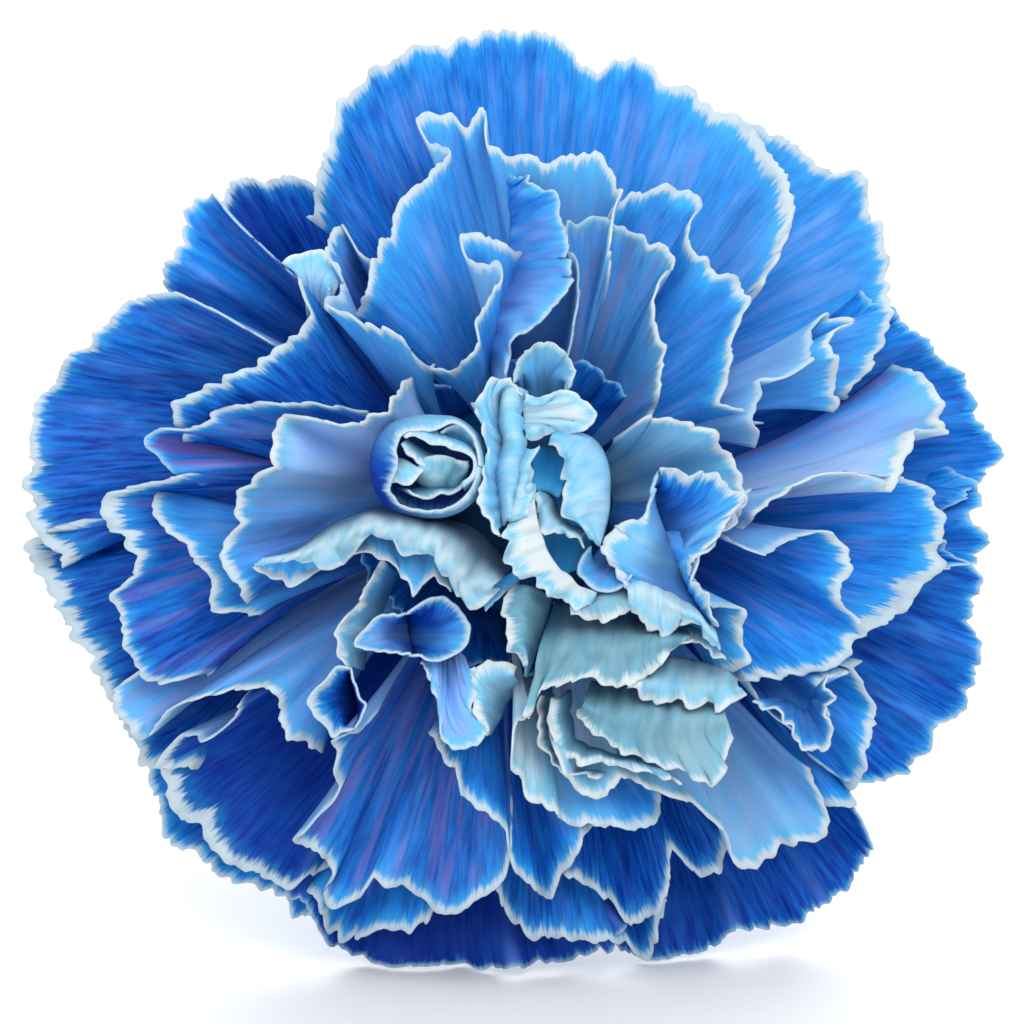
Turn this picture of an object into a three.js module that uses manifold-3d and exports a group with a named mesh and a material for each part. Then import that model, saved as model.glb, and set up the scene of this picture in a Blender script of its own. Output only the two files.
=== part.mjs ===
// A dyed carnation: one double bloom on a short cut stem with an opposite pair of leaves, lying on its
// side. It rests on the lowest guard petals and on the cut end of the stem. Millimetres, +Z up, origin on
// the surface under the middle of the flower. The bloom faces -Y and looks up a little.
import * as THREE from 'three';
import { mergeVertices } from 'three/addons/utils/BufferGeometryUtils.js';
import Module from 'manifold-3d';

const wasm = await Module();
wasm.setup();

// Driving dimensions of the whole flower.
const TILT = THREE.MathUtils.degToRad(15); // the bloom's axis above the horizontal
const FACE = new THREE.Vector3(0, -56.45, 37.7); // middle of the bloom, in the plane of its guard petals
const PHOTO_DISTANCE = 450; // the petals' places below are as seen from here, straight in front of the face

// The dome on which the petals' rims lie, measured along the bloom's axis from the plane of the guards.
const DOME_HEIGHT = 22;
const DOME_RADIUS = 41;
const DOME_POWER = 2.2;

// Blades are nested like funnels. The innermost reach the dome near the axis and stand steeply. Each one
// further out lies flatter under the last.
const PETAL_THICKNESS = 0.7;
const CLAW_HEIGHT = -16; // where the blades narrow into claws
const CLAW_SHARE = 0.14; // width of a blade where it leaves the core, as a share of its rim
const FLAT_POWER = 0.22; // shape of the outermost blades: almost level
const STEEP_POWER = 0.62; // and of the innermost
const EDGE_TUCK = 4; // how far the two sides of a blade pass under its neighbours

// Calyx, with the bundle of claws inside it, and the bracts round its foot.
const CALYX_TOP = -9.6;
const CALYX_TOOTH = 5;
const CALYX_LENGTH = 29;
const CALYX_RADIUS = 7.2;
const CALYX_FOOT = 3.8;
const CALYX_WALL = 0.9;
const CALYX_TEETH = 5;
const BRACTS = 4;
const BRACT_HEIGHT = 10;
const BRACT_THICKNESS = 0.7;
const GAP = 0.3; // between pieces that touch

const STEM_RADIUS = 2.3;
const STEM_SIDES = 14;
const STEM_FLARE = 1.2; // how much it widens into the calyx
const FLARE_LENGTH = 0.02; // as a share of the stem
const NODE_RADIUS = 3.5; // swelling from which the leaves grow
const NODE_LENGTH = 0.025; // as a share of the stem
const LEAF_WIDTH = 6.5;
const LEAF_THICKNESS = 0.9;
const LEAF_CHANNEL = 7; // radius of the shallow channel that an open leaf forms
const LEAF_CLASP = 0.3; // share of its length in which it lets go of the stem and opens
const CLASP_PLAY = 0.3; // extra room between the node and the leaf that clasps it
const CLASP_WIDENING = 0.25;
const LEAF_TIP = 0.25; // half the width left at its point

// One entry for each petal: the outline of its rim from one side to the other, x to the right and y up as
// seen in the photo. sink puts a petal that much deeper than the dome, so that it passes under others.
const PETALS = [
  // Guards
  {
    sink: 1,
    rim: [
      [-17, 24], [-15, 31], [-12, 36], [-6, 38.7], [0, 39.8], [7, 36.6], [12, 36.8], [18, 33],
      [22.8, 28.5], [23, 23], [20, 17],
    ],
  },
  { sink: 4, rim: [[17, 33], [22.5, 31], [27, 28], [30.3, 25.5], [31.4, 20.5], [31.3, 14.5], [28, 9]] },
  { sink: 2.5, rim: [[29, 18], [32.5, 16], [35.5, 12.8], [38.7, 8.5], [40.3, 5], [39, 2], [35, -1]] },
  { sink: 1, rim: [[36, 3.5], [39.2, 1.5], [38.4, -1], [39.8, -3], [38.2, -4.6], [33.5, -4]] },
  {
    sink: 3,
    rim: [
      [35, -2], [38.8, -6.5], [38.6, -10], [39, -13.5], [36.5, -18], [32.5, -22.3], [28.5, -23],
      [25, -21],
    ],
  },
  {
    sink: 4,
    rim: [
      [26, -22], [29.5, -27], [28.5, -31.5], [24.5, -34.3], [19, -35.5], [14, -38.6], [10.5, -38.5],
      [7, -35],
    ],
  },
  {
    sink: 2.5,
    rim: [
      [-20, -30], [-16, -35.6], [-11, -39], [-6, -39.6], [-2.5, -40], [3, -38.4], [8, -37], [11, -33],
    ],
  },
  { sink: 4, rim: [[-32, -16], [-30.2, -22.5], [-28.5, -27.5], [-23.5, -31.4], [-18, -33.2], [-13, -32]] },
  {
    sink: 2.5,
    rim: [
      [-36, -1], [-40.3, -3.5], [-38.2, -8], [-35.8, -12], [-33.6, -16.5], [-31.3, -20.7], [-26, -22],
    ],
  },
  {
    sink: 1,
    rim: [
      [-19, 13], [-25, 16.6], [-30, 17.5], [-35, 15], [-38.7, 11], [-40.2, 5.5], [-40.3, 0], [-37, -5],
    ],
  },
  {
    sink: 3.5,
    rim: [
      [-25, 12], [-29.2, 19], [-27.3, 24.5], [-23.5, 27.5], [-20.5, 24.5], [-17.5, 27.5], [-13, 27],
    ],
  },
  // Second layer
  { sink: 2, rim: [[-17.5, -31], [-14.5, -36], [-10, -35.4], [-6.5, -34.2], [-3, -31]] },
  { sink: 2, rim: [[-2, -29], [-0.6, -33.5], [2.5, -36.2], [8, -36.2], [11.2, -37.8], [13, -33]] },
  {
    sink: 1,
    rim: [
      [-26, 3], [-31.5, 1.6], [-34, 0], [-32.2, -3], [-31.7, -6], [-33.3, -8.5], [-32, -11.5],
      [-30.5, -14.6], [-25, -14],
    ],
  },
  {
    sink: 0.5,
    rim: [
      [-30, -13], [-33.2, -15.8], [-30.8, -19.4], [-27.5, -16.2], [-22, -15.1], [-18.8, -17],
      [-16, -20.5],
    ],
  },
  {
    sink: 2,
    rim: [
      [-21, -14], [-24.3, -19.2], [-28, -19.4], [-29.2, -23], [-26.8, -26.2], [-24, -29.4],
      [-19.5, -31.2], [-15, -30],
    ],
  },
  {
    sink: 1,
    rim: [
      [19, -2], [24.5, 2.2], [30, 2.6], [32, 1.4], [33.5, 5], [36.4, 6.2], [35, 9.8], [32, 12],
    ],
  },
  { sink: 2, rim: [[28, 3], [34, 2], [36, -1], [35.5, -5.5], [32, -6.5], [30.5, -9.5], [26, -12]] },
  { sink: 2, rim: [[24, -13], [28.3, -13.5], [30.2, -17.5], [29, -22], [28.5, -25], [25, -25]] },
  { sink: 2.5, rim: [[3, -29], [7, -32.2], [10, -35], [12.8, -33], [13.4, -29.5], [16.5, -31], [19, -27]] },
  {
    sink: 2,
    rim: [
      [6, 22], [10, 26.2], [15.8, 26], [15, 22.5], [19.8, 18.3], [19, 13.5], [17.9, 9.5], [21, 7],
    ],
  },
  { sink: 1, rim: [[20, 6], [21, 10.6], [24.5, 12], [25.8, 15.5], [28.6, 15.4], [26.8, 13], [27.2, 9]] },
  {
    sink: 1,
    rim: [
      [-13.5, 15], [-11, 21], [-9.5, 25.5], [-5.3, 29.8], [-8, 32], [-5.3, 33], [-2.3, 33], [-1, 29.6],
      [4, 29.3], [8.5, 28.2], [9, 24.5], [8, 18],
    ],
  },
  { sink: 3, rim: [[-17, 18], [-15.8, 23.8], [-12, 24], [-9, 20]] },
  // Middle
  {
    sink: 0,
    rim: [
      [-27.5, 5.5], [-28.3, 8.5], [-25, 10.9], [-18, 14.3], [-18.4, 20.2], [-14.8, 20.3], [-15.4, 16.4],
      [-10, 14.4], [-6.5, 12],
    ],
  },
  { sink: 0, rim: [[-7, 11.5], [-3.2, 13.3], [-2.6, 17], [-1, 20], [-4, 22.2], [-1.8, 22.8], [1, 21]] },
  { sink: 1.5, rim: [[-29, 3.5], [-30.4, 6], [-27, 6.6], [-23, 8.6], [-17, 8.9], [-12, 8]] },
  {
    sink: 0,
    rim: [
      [-22, -8], [-24.2, -4.2], [-23, 0.6], [-20.4, 3.6], [-20, 7.2], [-16.5, 7.2], [-11.8, 7.4],
      [-8.5, 11],
    ],
  },
  { sink: 1.5, rim: [[-29, 2], [-30.2, -0.5], [-27.8, -3], [-25.5, -5.3], [-25, -8.5], [-21, -9]] },
  {
    sink: 0.5,
    rim: [
      [-11, -17.5], [-14.5, -20.5], [-14.6, -24.5], [-18.3, -28], [-15.3, -30.5], [-13.8, -33.3],
      [-9.8, -31.5], [-5.5, -33.5], [-0.5, -30.5], [0, -25],
    ],
  },
  { sink: 0, rim: [[-14, -13.5], [-12.6, -15.5], [-13, -18.6], [-15.5, -18.5], [-16.5, -15.8]] },
  { sink: 1, rim: [[-7, -19], [-4.7, -22.5], [-0.8, -26.2], [0, -30.2], [3, -33], [5, -29.5], [7, -26]] },
  { sink: 0.5, rim: [[1, -15], [0, -20.5], [1.3, -24.6], [5, -27], [9.5, -27.2], [13.5, -27], [14, -22]] },
  {
    sink: 0,
    rim: [
      [3, -19], [5.2, -23.6], [9, -22.8], [15.5, -25], [18.5, -29.5], [22.5, -28.4], [26.5, -27],
      [25, -22],
    ],
  },
  { sink: 0.5, rim: [[18.5, -12], [21.5, -17], [24.5, -20.2], [26.5, -18], [26, -14.6], [29.5, -13]] },
  {
    sink: 0,
    rim: [
      [17, -2], [21, -3.9], [26.6, -2.3], [28.2, -6], [29.4, -10], [27, -13.2], [22, -14.8], [17, -14],
    ],
  },
  { sink: 0, rim: [[20, 1.5], [17, -2.7], [15.3, -5.6], [18.5, -8], [19.3, -12.5], [17, -15]] },
  {
    sink: 1.5,
    rim: [
      [4, 11], [5.4, 19], [5, 23], [9.5, 23], [13.5, 20.6], [11.8, 16.5], [12.7, 12.5], [11.5, 7],
    ],
  },
  { sink: 1.5, rim: [[0, 11], [2.8, 15.6], [5.6, 19.5], [4.1, 23.5], [4.4, 25.8], [8.5, 24]] },
  { sink: 0.5, rim: [[9, 6], [12.5, 7.2], [16.5, 6.4], [19.2, 2.5], [19, -1]] },
  {
    sink: 0.5,
    rim: [
      [-9, -5], [-11, -9], [-13.2, -11.4], [-7.2, -13], [-6.3, -18.5], [-4.5, -20.3], [-2.2, -19.3],
      [-3, -15],
    ],
  },
  // Inner
  {
    sink: 0,
    rim: [
      [-20.5, -6], [-17.5, -4.3], [-13, -4], [-9.5, -3.6], [-5.8, -5.2], [-2.5, -8.8], [0, -7],
    ],
  },
  { sink: 0, rim: [[-3, -9], [-1, -13.5], [0.3, -18], [2, -15], [3, -9]] },
  { sink: 0.5, rim: [[1, -14], [5.6, -17], [9, -20.7], [12.5, -20.4], [16, -17], [19, -15.8]] },
  { sink: 1.5, rim: [[1.5, -15], [3.4, -20], [7, -21.8], [13.5, -22.6], [17, -23], [18.2, -18.5]] },
  { sink: 0, rim: [[4, -12], [8, -15], [12, -13.4], [15, -11.5]] },
  { sink: 0, rim: [[3, -8], [7.5, -9.3], [11, -9.8], [14, -9.6], [16, -6]] },
  {
    sink: 0,
    rim: [
      [-1.5, -1], [-0.4, -4.8], [2.4, -7.2], [5.5, -8.4], [8.5, -6.8], [9.3, -4.6], [11.4, 0], [13, 3.5],
    ],
  },
  { sink: 0, rim: [[-3, 1], [-2.4, 7], [-2.2, 10.6], [1, 9.2], [5, 9.5], [7, 7.6], [4.4, 3], [4.6, -0.8]] },
];

// The rolled petal left of the middle: a wall that winds once and a half, from its outer edge inwards.
const BUD = {
  x: -6.8,
  y: 3.6,
  outer: 4.4,
  inner: 1.5,
  turns: 1.4,
  start: 0.6,
  steps: 22,
};
// Its foot, belly and top: how far each stands from the axis and how wide it is, as shares of the top's,
// and its height.
const BUD_ROWS = [[0.55, 0.62, 6], [0.775, 0.87, 14.25], [1, 1, 22.5]];

// Where the stem runs: from the foot of the calyx down to the surface, along which its last part lies.
const STEM_ROUTE = [
  [0.3, 61.5, 21.7], [0.9, 82.5, 15.2], [0.9, 103.5, 8.2], [0.2, 119.5, 3.7], [-0.6, 135.5, 2.26],
];
const NODE_AT = 0.42; // share of the stem's length from the calyx to the node
// Midribs of the two leaves, from the node towards the bloom and outwards.
const LEAF_ROUTES = {
  leaf_left: [
    [-3.5, 86.5, 13.6], [-5.6, 77.5, 17.8], [-12, 63.5, 24.6], [-21, 52.5, 28.5], [-29.5, 45.5, 27],
    [-33, 41.5, 21.5],
  ],
  leaf_right: [
    [5.3, 86, 14.2], [7.2, 76.5, 17.4], [13.5, 62.5, 19.5], [22, 53.5, 17.2], [28.5, 48, 10.8],
    [31.5, 45, 4],
  ],
};

const material = (color, roughness) => new THREE.MeshStandardMaterial({ color, roughness, metalness: 0 });
const MATERIALS = {
  petals: material(0x2f7de0, 0.75),
  calyx: material(0x7da35a, 0.6),
  bracts: material(0x93ad68, 0.65),
  stem: material(0x6f9a58, 0.55),
  leaf: material(0x7b9c80, 0.7),
};

// The flower's frame: x to the right of the face, y up on it, height along its axis towards the viewer.
function place(x, y, height) {
  const v = y * Math.sin(TILT) - height * Math.cos(TILT);
  const w = y * Math.cos(TILT) + height * Math.sin(TILT);
  return new THREE.Vector3(x, v, w).add(FACE);
}

// The same for a place read from the photo, in which what is nearer looks larger.
function placeSeen(x, y, height) {
  const shrink = 1 - height / PHOTO_DISTANCE;
  return place(x * shrink, y * shrink, height);
}

function domeHeight(x, y) {
  return DOME_HEIGHT * (1 - (Math.hypot(x, y) / DOME_RADIUS) ** DOME_POWER);
}

// A closed geometry from its points and triangles.
function solid(points, triangles) {
  const geometry = new THREE.BufferGeometry().setFromPoints(points);
  geometry.setIndex(triangles.flat());
  return geometry;
}

// A grid of points, rows[j][i], given a thickness: both faces are split into the same triangles, and a
// strip joins them round the edge.
function thickSheet(rows, thickness) {
  const height = rows.length;
  const width = rows[0].length;
  const front = [];
  const back = [];
  for (let j = 0; j < height; j++) {
    for (let i = 0; i < width; i++) {
      const across = rows[j][Math.min(i + 1, width - 1)].clone().sub(rows[j][Math.max(i - 1, 0)]);
      const along = rows[Math.min(j + 1, height - 1)][i].clone().sub(rows[Math.max(j - 1, 0)][i]);
      const half = across.cross(along).normalize().multiplyScalar(thickness / 2);
      front.push(rows[j][i].clone().add(half));
      back.push(rows[j][i].clone().sub(half));
    }
  }
  const triangles = [];
  const shift = front.length;
  for (let j = 0; j + 1 < height; j++) {
    for (let i = 0; i + 1 < width; i++) {
      const a = j * width + i;
      const [b, c, d] = [a + 1, a + width + 1, a + width];
      triangles.push([a, b, c], [a, c, d]);
      triangles.push([shift + a, shift + c, shift + b], [shift + a, shift + d, shift + c]);
    }
  }
  const edge = [];
  for (let i = 0; i < width; i++) edge.push(i);
  for (let j = 1; j < height; j++) edge.push(j * width + width - 1);
  for (let i = width - 2; i >= 0; i--) edge.push((height - 1) * width + i);
  for (let j = height - 2; j > 0; j--) edge.push(j * width);
  edge.forEach((a, k) => {
    const b = edge[(k + 1) % edge.length];
    triangles.push([a, shift + a, shift + b], [a, shift + b, b]);
  });
  return solid([...front, ...back], triangles);
}

// Rings of points from one end to the other, closed by a fan to the middle of the first and the last ring.
function ringSolid(rings, first, last) {
  const sides = rings[0].length;
  const points = [first, ...rings.flat(), last];
  const end = points.length - 1;
  const triangles = [];
  for (let i = 0; i < sides; i++) {
    const next = (i + 1) % sides;
    triangles.push([0, 1 + next, 1 + i]);
    for (let j = 0; j + 1 < rings.length; j++) {
      const [a, b] = [1 + j * sides + i, 1 + j * sides + next];
      triangles.push([a, b, b + sides], [a, b + sides, a + sides]);
    }
    const top = 1 + (rings.length - 1) * sides;
    triangles.push([end, top + i, top + next]);
  }
  return solid(points, triangles);
}

// Conversions to and from the solids that can be joined and cut.
function toManifold(geometry) {
  const bare = geometry.clone();
  bare.deleteAttribute('normal');
  bare.deleteAttribute('uv');
  const merged = mergeVertices(bare, 1e-4);
  return new wasm.Manifold(new wasm.Mesh({
    numProp: 3,
    vertProperties: merged.attributes.position.array,
    triVerts: new Uint32Array(merged.index.array),
  }));
}

function fromManifold(body) {
  const mesh = body.getMesh();
  const geometry = new THREE.BufferGeometry();
  geometry.setAttribute('position', new THREE.BufferAttribute(mesh.vertProperties, 3));
  geometry.setIndex(new THREE.BufferAttribute(mesh.triVerts, 1));
  return geometry;
}

// Bodies joined into one: hollows that the joining seals are filled, and loose scraps are dropped.
function union(bodies) {
  const pieces = bodies.reduce((all, one) => all.add(one)).decompose();
  return pieces.reduce((best, one) => (one.volume() > best.volume() ? one : best));
}

// Part of a body above the surface on which the flower lies.
function aboveSurface(body) {
  const below = new THREE.BoxGeometry(400, 400, 100).translate(0, 0, -50);
  return body.subtract(toManifold(below));
}

// A petal: each line from the core to its rim follows a power curve that ends on the dome, less its sink.
function petal({ rim, sink }) {
  const lines = rim.map(([x, y], i) => {
    const radius = Math.hypot(x, y);
    const tuck = i === 0 || i === rim.length - 1 ? EDGE_TUCK : 0;
    const climb = domeHeight(x, y) - sink - tuck - CLAW_HEIGHT;
    const power = THREE.MathUtils.lerp(STEEP_POWER, FLAT_POWER, Math.min(radius / DOME_RADIUS, 1));
    return { x, y, climb, power };
  });
  const rows = [CLAW_SHARE, 0.45, 0.75, 1].map((share) => lines.map(({ x, y, climb, power }) => (
    placeSeen(x * share, y * share, CLAW_HEIGHT + climb * share ** power))));
  return toManifold(thickSheet(rows, PETAL_THICKNESS));
}

// The rolled petal, a spiral wall that narrows downwards into the heart of the bloom.
function bud() {
  const rows = BUD_ROWS.map(([out, width, height]) => {
    const row = [];
    for (let k = 0; k <= BUD.steps; k++) {
      const s = k / BUD.steps;
      const angle = 2 * Math.PI * BUD.turns * s + BUD.start;
      const radius = THREE.MathUtils.lerp(BUD.outer, BUD.inner, s) * width;
      const x = BUD.x * out + radius * Math.cos(angle);
      const y = BUD.y * out + radius * Math.sin(angle);
      row.push(placeSeen(x, y, height));
    }
    return row;
  });
  return toManifold(thickSheet(rows, PETAL_THICKNESS));
}

// Rings round the flower's axis, from [radius, height] pairs, where either may depend on the angle.
function axialSolid(profile, sides, first, last) {
  const rings = profile.map((point) => {
    const ring = [];
    for (let i = 0; i < sides; i++) {
      const angle = (2 * Math.PI * i) / sides;
      const [radius, height] = typeof point === 'function' ? point(angle) : point;
      ring.push(place(radius * Math.cos(angle), radius * Math.sin(angle), height));
    }
    return ring;
  });
  return ringSolid(rings, place(0, 0, first), place(0, 0, last));
}

// The bundle of claws in the calyx and the crowded feet of the blades over it, as one smooth core.
const CALYX_BASE = CALYX_TOP - CALYX_LENGTH;
const CLAW_RADIUS = CALYX_RADIUS - CALYX_WALL - GAP;
function core() {
  const foot = CALYX_BASE + 5;
  const profile = [
    [3, foot], [CLAW_RADIUS - 1.1, foot + 5], [CLAW_RADIUS, foot + 12], [CLAW_RADIUS, CALYX_TOP],
    [7.4, -2], [8.5, 3], [8, 9], [5.5, 13],
  ];
  return toManifold(axialSolid(profile, 20, foot, 15));
}

// Height of a row of n pointed teeth round the axis, from 0 between teeth to 1 at their tips.
const teeth = (n, angle) => (1 - Math.abs(((n * angle) / Math.PI + 1000) % 2 - 1)) ** 0.8;

function calyx() {
  const lip = (inset) => (angle) => [
    CALYX_RADIUS - inset, CALYX_TOP - CALYX_TOOTH * (1 - teeth(CALYX_TEETH, angle)),
  ];
  const low = CALYX_TOP - CALYX_TOOTH - 1.5;
  const inside = CALYX_RADIUS - CALYX_WALL;
  const profile = [
    [CALYX_FOOT - 1, CALYX_BASE], [CALYX_FOOT, CALYX_BASE + 1], [CALYX_RADIUS - 1.6, CALYX_BASE + 5],
    [CALYX_RADIUS - 0.5, CALYX_BASE + 10], [CALYX_RADIUS, CALYX_BASE + 15], [CALYX_RADIUS, low], lip(0),
    lip(CALYX_WALL), [inside, low], [inside, CALYX_BASE + 16.7], [inside - 1, CALYX_BASE + 9.6],
    [3.2, CALYX_BASE + 4.6],
  ];
  return axialSolid(profile, 40, CALYX_BASE, CALYX_BASE + 4.6);
}

// Bracts: a thin cup round the foot of the calyx, cut into points that lie against it.
function epicalyx() {
  const wall = BRACT_THICKNESS;
  const start = CALYX_BASE + 1.3;
  const point = (angle) => teeth(BRACTS, angle);
  const seat = CALYX_RADIUS + GAP + wall;
  const outside = [
    () => [CALYX_FOOT + 2 * GAP + wall, start],
    () => [seat - 1.6 + GAP / 2, CALYX_BASE + 5],
    (angle) => [seat - 1.2 + 0.8 * point(angle), CALYX_BASE + 6 + 3.5 * point(angle)],
    (angle) => [seat - 0.6 + 0.6 * point(angle), CALYX_BASE + 6.6 + (BRACT_HEIGHT - 1) * point(angle)],
  ];
  const inside = outside.map((at) => (angle) => [at(angle)[0] - wall, at(angle)[1]]);
  const loop = [...outside, ...inside.reverse()];
  const sides = 40;
  const points = [];
  const triangles = [];
  loop.forEach((at, j) => {
    for (let i = 0; i < sides; i++) {
      const angle = (2 * Math.PI * i) / sides;
      const [radius, height] = at(angle);
      points.push(place(radius * Math.cos(angle), radius * Math.sin(angle), height));
      const next = (i + 1) % sides;
      const above = ((j + 1) % loop.length) * sides;
      const [a, b] = [j * sides + i, j * sides + next];
      triangles.push([a, b, above + next], [a, above + next, above + i]);
    }
  });
  return solid(points, triangles);
}

const stemStart = place(0, 0, CALYX_BASE - GAP);
const behindFace = ([x, y, z]) => new THREE.Vector3(x, FACE.y + y, z);
const stemCurve = new THREE.CatmullRomCurve3([stemStart, ...STEM_ROUTE.map(behindFace)]);

// The stem: rings across its route, thicker at the node and where it widens into the calyx.
function stem() {
  const steps = 30;
  const rings = [];
  const side = new THREE.Vector3(1, 0, 0);
  for (let k = 0; k <= steps; k++) {
    const s = k / steps;
    const middle = stemCurve.getPointAt(s);
    const up = stemCurve.getTangentAt(s).cross(side).normalize();
    const swelling = (NODE_RADIUS - STEM_RADIUS) * Math.exp(-(((s - NODE_AT) / NODE_LENGTH) ** 2));
    const flare = STEM_FLARE * Math.exp(-s / FLARE_LENGTH);
    const radius = STEM_RADIUS + swelling + flare;
    const ring = [];
    for (let i = 0; i < STEM_SIDES; i++) {
      const angle = (2 * Math.PI * i) / STEM_SIDES;
      const across = side.clone().multiplyScalar(radius * Math.cos(angle));
      ring.push(middle.clone().add(across).addScaledVector(up, radius * Math.sin(angle)));
    }
    rings.push(ring);
  }
  return ringSolid(rings, stemCurve.getPointAt(0), stemCurve.getPointAt(1));
}

// A leaf: an arched strip that clasps the node, then opens into a shallow channel and narrows to its tip.
function leaf(route) {
  const curve = new THREE.CatmullRomCurve3(route.map(behindFace));
  const toStem = stemCurve.getPointAt(NODE_AT).sub(behindFace(route[0]));
  const claspRadius = NODE_RADIUS + GAP + LEAF_THICKNESS / 2 + CLASP_PLAY;
  const steps = 16;
  const columns = [-1, -0.6, -0.25, 0, 0.25, 0.6, 1];
  const rows = [];
  for (let k = 0; k <= steps; k++) {
    const s = k / steps;
    const middle = curve.getPointAt(s);
    const along = curve.getTangentAt(s);
    const inward = toStem.clone().addScaledVector(along, -toStem.dot(along)).normalize();
    const across = along.clone().cross(inward).normalize();
    const open = THREE.MathUtils.smoothstep(s, 0, LEAF_CLASP);
    const bendRadius = THREE.MathUtils.lerp(claspRadius, LEAF_CHANNEL, open);
    const halfWidth = (LEAF_WIDTH / 2) * (1 - s ** 3) * (1 + CLASP_WIDENING * (1 - open)) + LEAF_TIP;
    rows.push(columns.map((c) => {
      const turn = (c * halfWidth) / bendRadius;
      return middle.clone().addScaledVector(across, bendRadius * Math.sin(turn))
        .addScaledVector(inward, bendRadius * (1 - Math.cos(turn)));
    }));
  }
  return thickSheet(rows, LEAF_THICKNESS);
}

const flower = new THREE.Group();
function add(name, geometry, look) {
  const mesh = new THREE.Mesh(geometry, MATERIALS[look]);
  mesh.name = name;
  flower.add(mesh);
}

add('bloom', fromManifold(union([aboveSurface(union([core(), bud(), ...PETALS.map(petal)]))])), 'petals');
add('calyx', calyx(), 'calyx');
add('epicalyx', epicalyx(), 'bracts');
add('stem', stem(), 'stem');
for (const [name, route] of Object.entries(LEAF_ROUTES)) add(name, leaf(route), 'leaf');

export default flower;
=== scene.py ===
"""A dyed carnation lying on its side: one double bloom, blue with white edges, on a cut stem with two leaves.

Lengths in the sections are millimetres, and MM turns them into Blender's metres. The bloom faces -Y and looks
up a little, so that the camera sees it straight in front.
"""

import math

import bpy
import numpy as np
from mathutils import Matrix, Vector


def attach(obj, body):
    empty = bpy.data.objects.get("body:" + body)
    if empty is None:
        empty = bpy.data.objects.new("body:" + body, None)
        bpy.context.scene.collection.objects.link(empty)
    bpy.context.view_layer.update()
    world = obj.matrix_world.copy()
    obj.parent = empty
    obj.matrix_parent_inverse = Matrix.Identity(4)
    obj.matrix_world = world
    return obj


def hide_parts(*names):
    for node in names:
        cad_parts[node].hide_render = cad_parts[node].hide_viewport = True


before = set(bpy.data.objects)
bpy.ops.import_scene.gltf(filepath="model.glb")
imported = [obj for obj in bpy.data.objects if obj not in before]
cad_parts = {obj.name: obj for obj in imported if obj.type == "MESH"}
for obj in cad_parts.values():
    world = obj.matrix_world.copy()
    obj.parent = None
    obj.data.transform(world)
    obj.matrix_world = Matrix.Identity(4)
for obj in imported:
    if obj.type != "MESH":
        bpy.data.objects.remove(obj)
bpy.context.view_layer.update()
MM = 0.001

# The flower's own frame: x to the right of its face, y up on the face, and height along its axis, from the
# plane of the guard petals towards whoever looks at it. It leans back on the surface, its lowest petals
# touching it.
TILT = math.radians(15)
FACE = np.array([0.0, -56.45, 37.7])
PHOTO_DISTANCE = 450.0


def in_world(x, y, height):
    """Points of the flower's frame in the world: turned back by the tilt about X, then moved to the face."""
    depth = y * math.sin(TILT) - height * math.cos(TILT)
    level = y * math.cos(TILT) + height * math.sin(TILT)
    return np.stack(np.broadcast_arrays(x, depth, level), axis=-1) + FACE


def as_seen(x, y, height):
    """The same for places read off the photo, where a point nearer by some height looks larger in
    proportion."""
    shrink = 1 - height / PHOTO_DISTANCE
    return in_world(x * shrink, y * shrink, height)


AXIS = in_world(0, 0, 1.0) - in_world(0, 0, 0.0)
UPWARDS = in_world(0, 1.0, 0) - in_world(0, 0, 0.0)

# Petal blades. Each is a thin ruffled sheet that grows out of the heart of the bloom on a narrow claw, in
# nested layers, with a pinked outer edge. They are fixed at their claws, deep inside, and lean on each
# other.
BLADE_THICKNESS = 0.28
EDGE_THINNING = 0.4
TABLE_SOFTNESS = 0.6
COLUMN_PITCH = 0.3
FEWEST_COLUMNS = 16
ROWS = 28
FINE_STEPS = 24
HOLLOW_WIDTH = 2.5
HOLLOW_DEPTH = 0.8
MAP_STEP = 37


def unit(vectors):
    """Vectors brought to length one."""
    return vectors / (np.linalg.norm(vectors, axis=-1, keepdims=True) + 1e-9)


def through(lines, t):
    """Points on smooth curves through the matching points of several lines (Catmull-Rom cubics), where t
    runs from 0 on the first line to 1 on the last and may differ from column to column."""
    padded = np.concatenate([2 * lines[:1] - lines[1:2], lines, 2 * lines[-1:] - lines[-2:-1]])
    place = np.clip(t, 0, 1) * (len(lines) - 1)
    start = np.minimum(place.astype(int), len(lines) - 2)
    f = (place - start)[..., None]
    a, b, c, d = (padded[start + k, np.arange(lines.shape[1])] for k in range(4))
    return 0.5 * (2 * b + (c - a) * f + (2 * a - 5 * b + 4 * c - d) * f**2 + (3 * b - a - 3 * c + d) * f**3)


def even_line(points, count):
    """That many points at equal lengths along a smooth line through given ones, and the length up to
    each."""
    t = np.linspace(0, 1, FINE_STEPS * len(points))[:, None]
    fine = through(np.asarray(points, float)[:, None], t)[:, 0]
    run = np.concatenate([[0], np.cumsum(np.linalg.norm(np.diff(fine, axis=0), axis=1))])
    at = np.linspace(0, run[-1], count)
    return np.stack([np.interp(at, run, numbers) for numbers in fine.T], axis=1), at


def columns_for(points):
    """How many columns a line needs, taken as a tenth longer than the straight lines between its points."""
    length = np.linalg.norm(np.diff(np.asarray(points, float), axis=0), axis=1).sum()
    return max(int(1.1 * length / COLUMN_PITCH), FEWEST_COLUMNS)


def smoothed(numbers, at, width):
    """Numbers at places along a line, averaged over about this width of it: a Gaussian blur."""
    weights = np.exp(-(((at[:, None] - at[None]) / width) ** 2))
    return (weights / weights.sum(1, keepdims=True)) @ numbers


def ripple(at, wavelength, random):
    """A wandering wave of about the given wavelength and height one: five sines near it, with random
    phases."""
    waves, evened = 5, 2.6
    pitch = wavelength * random.uniform(0.7, 1.5, waves)[:, None]
    return np.sin(2 * math.pi * (at[None] / pitch + random.uniform(0, 1, waves)[:, None])).sum(0) / evened


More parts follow.
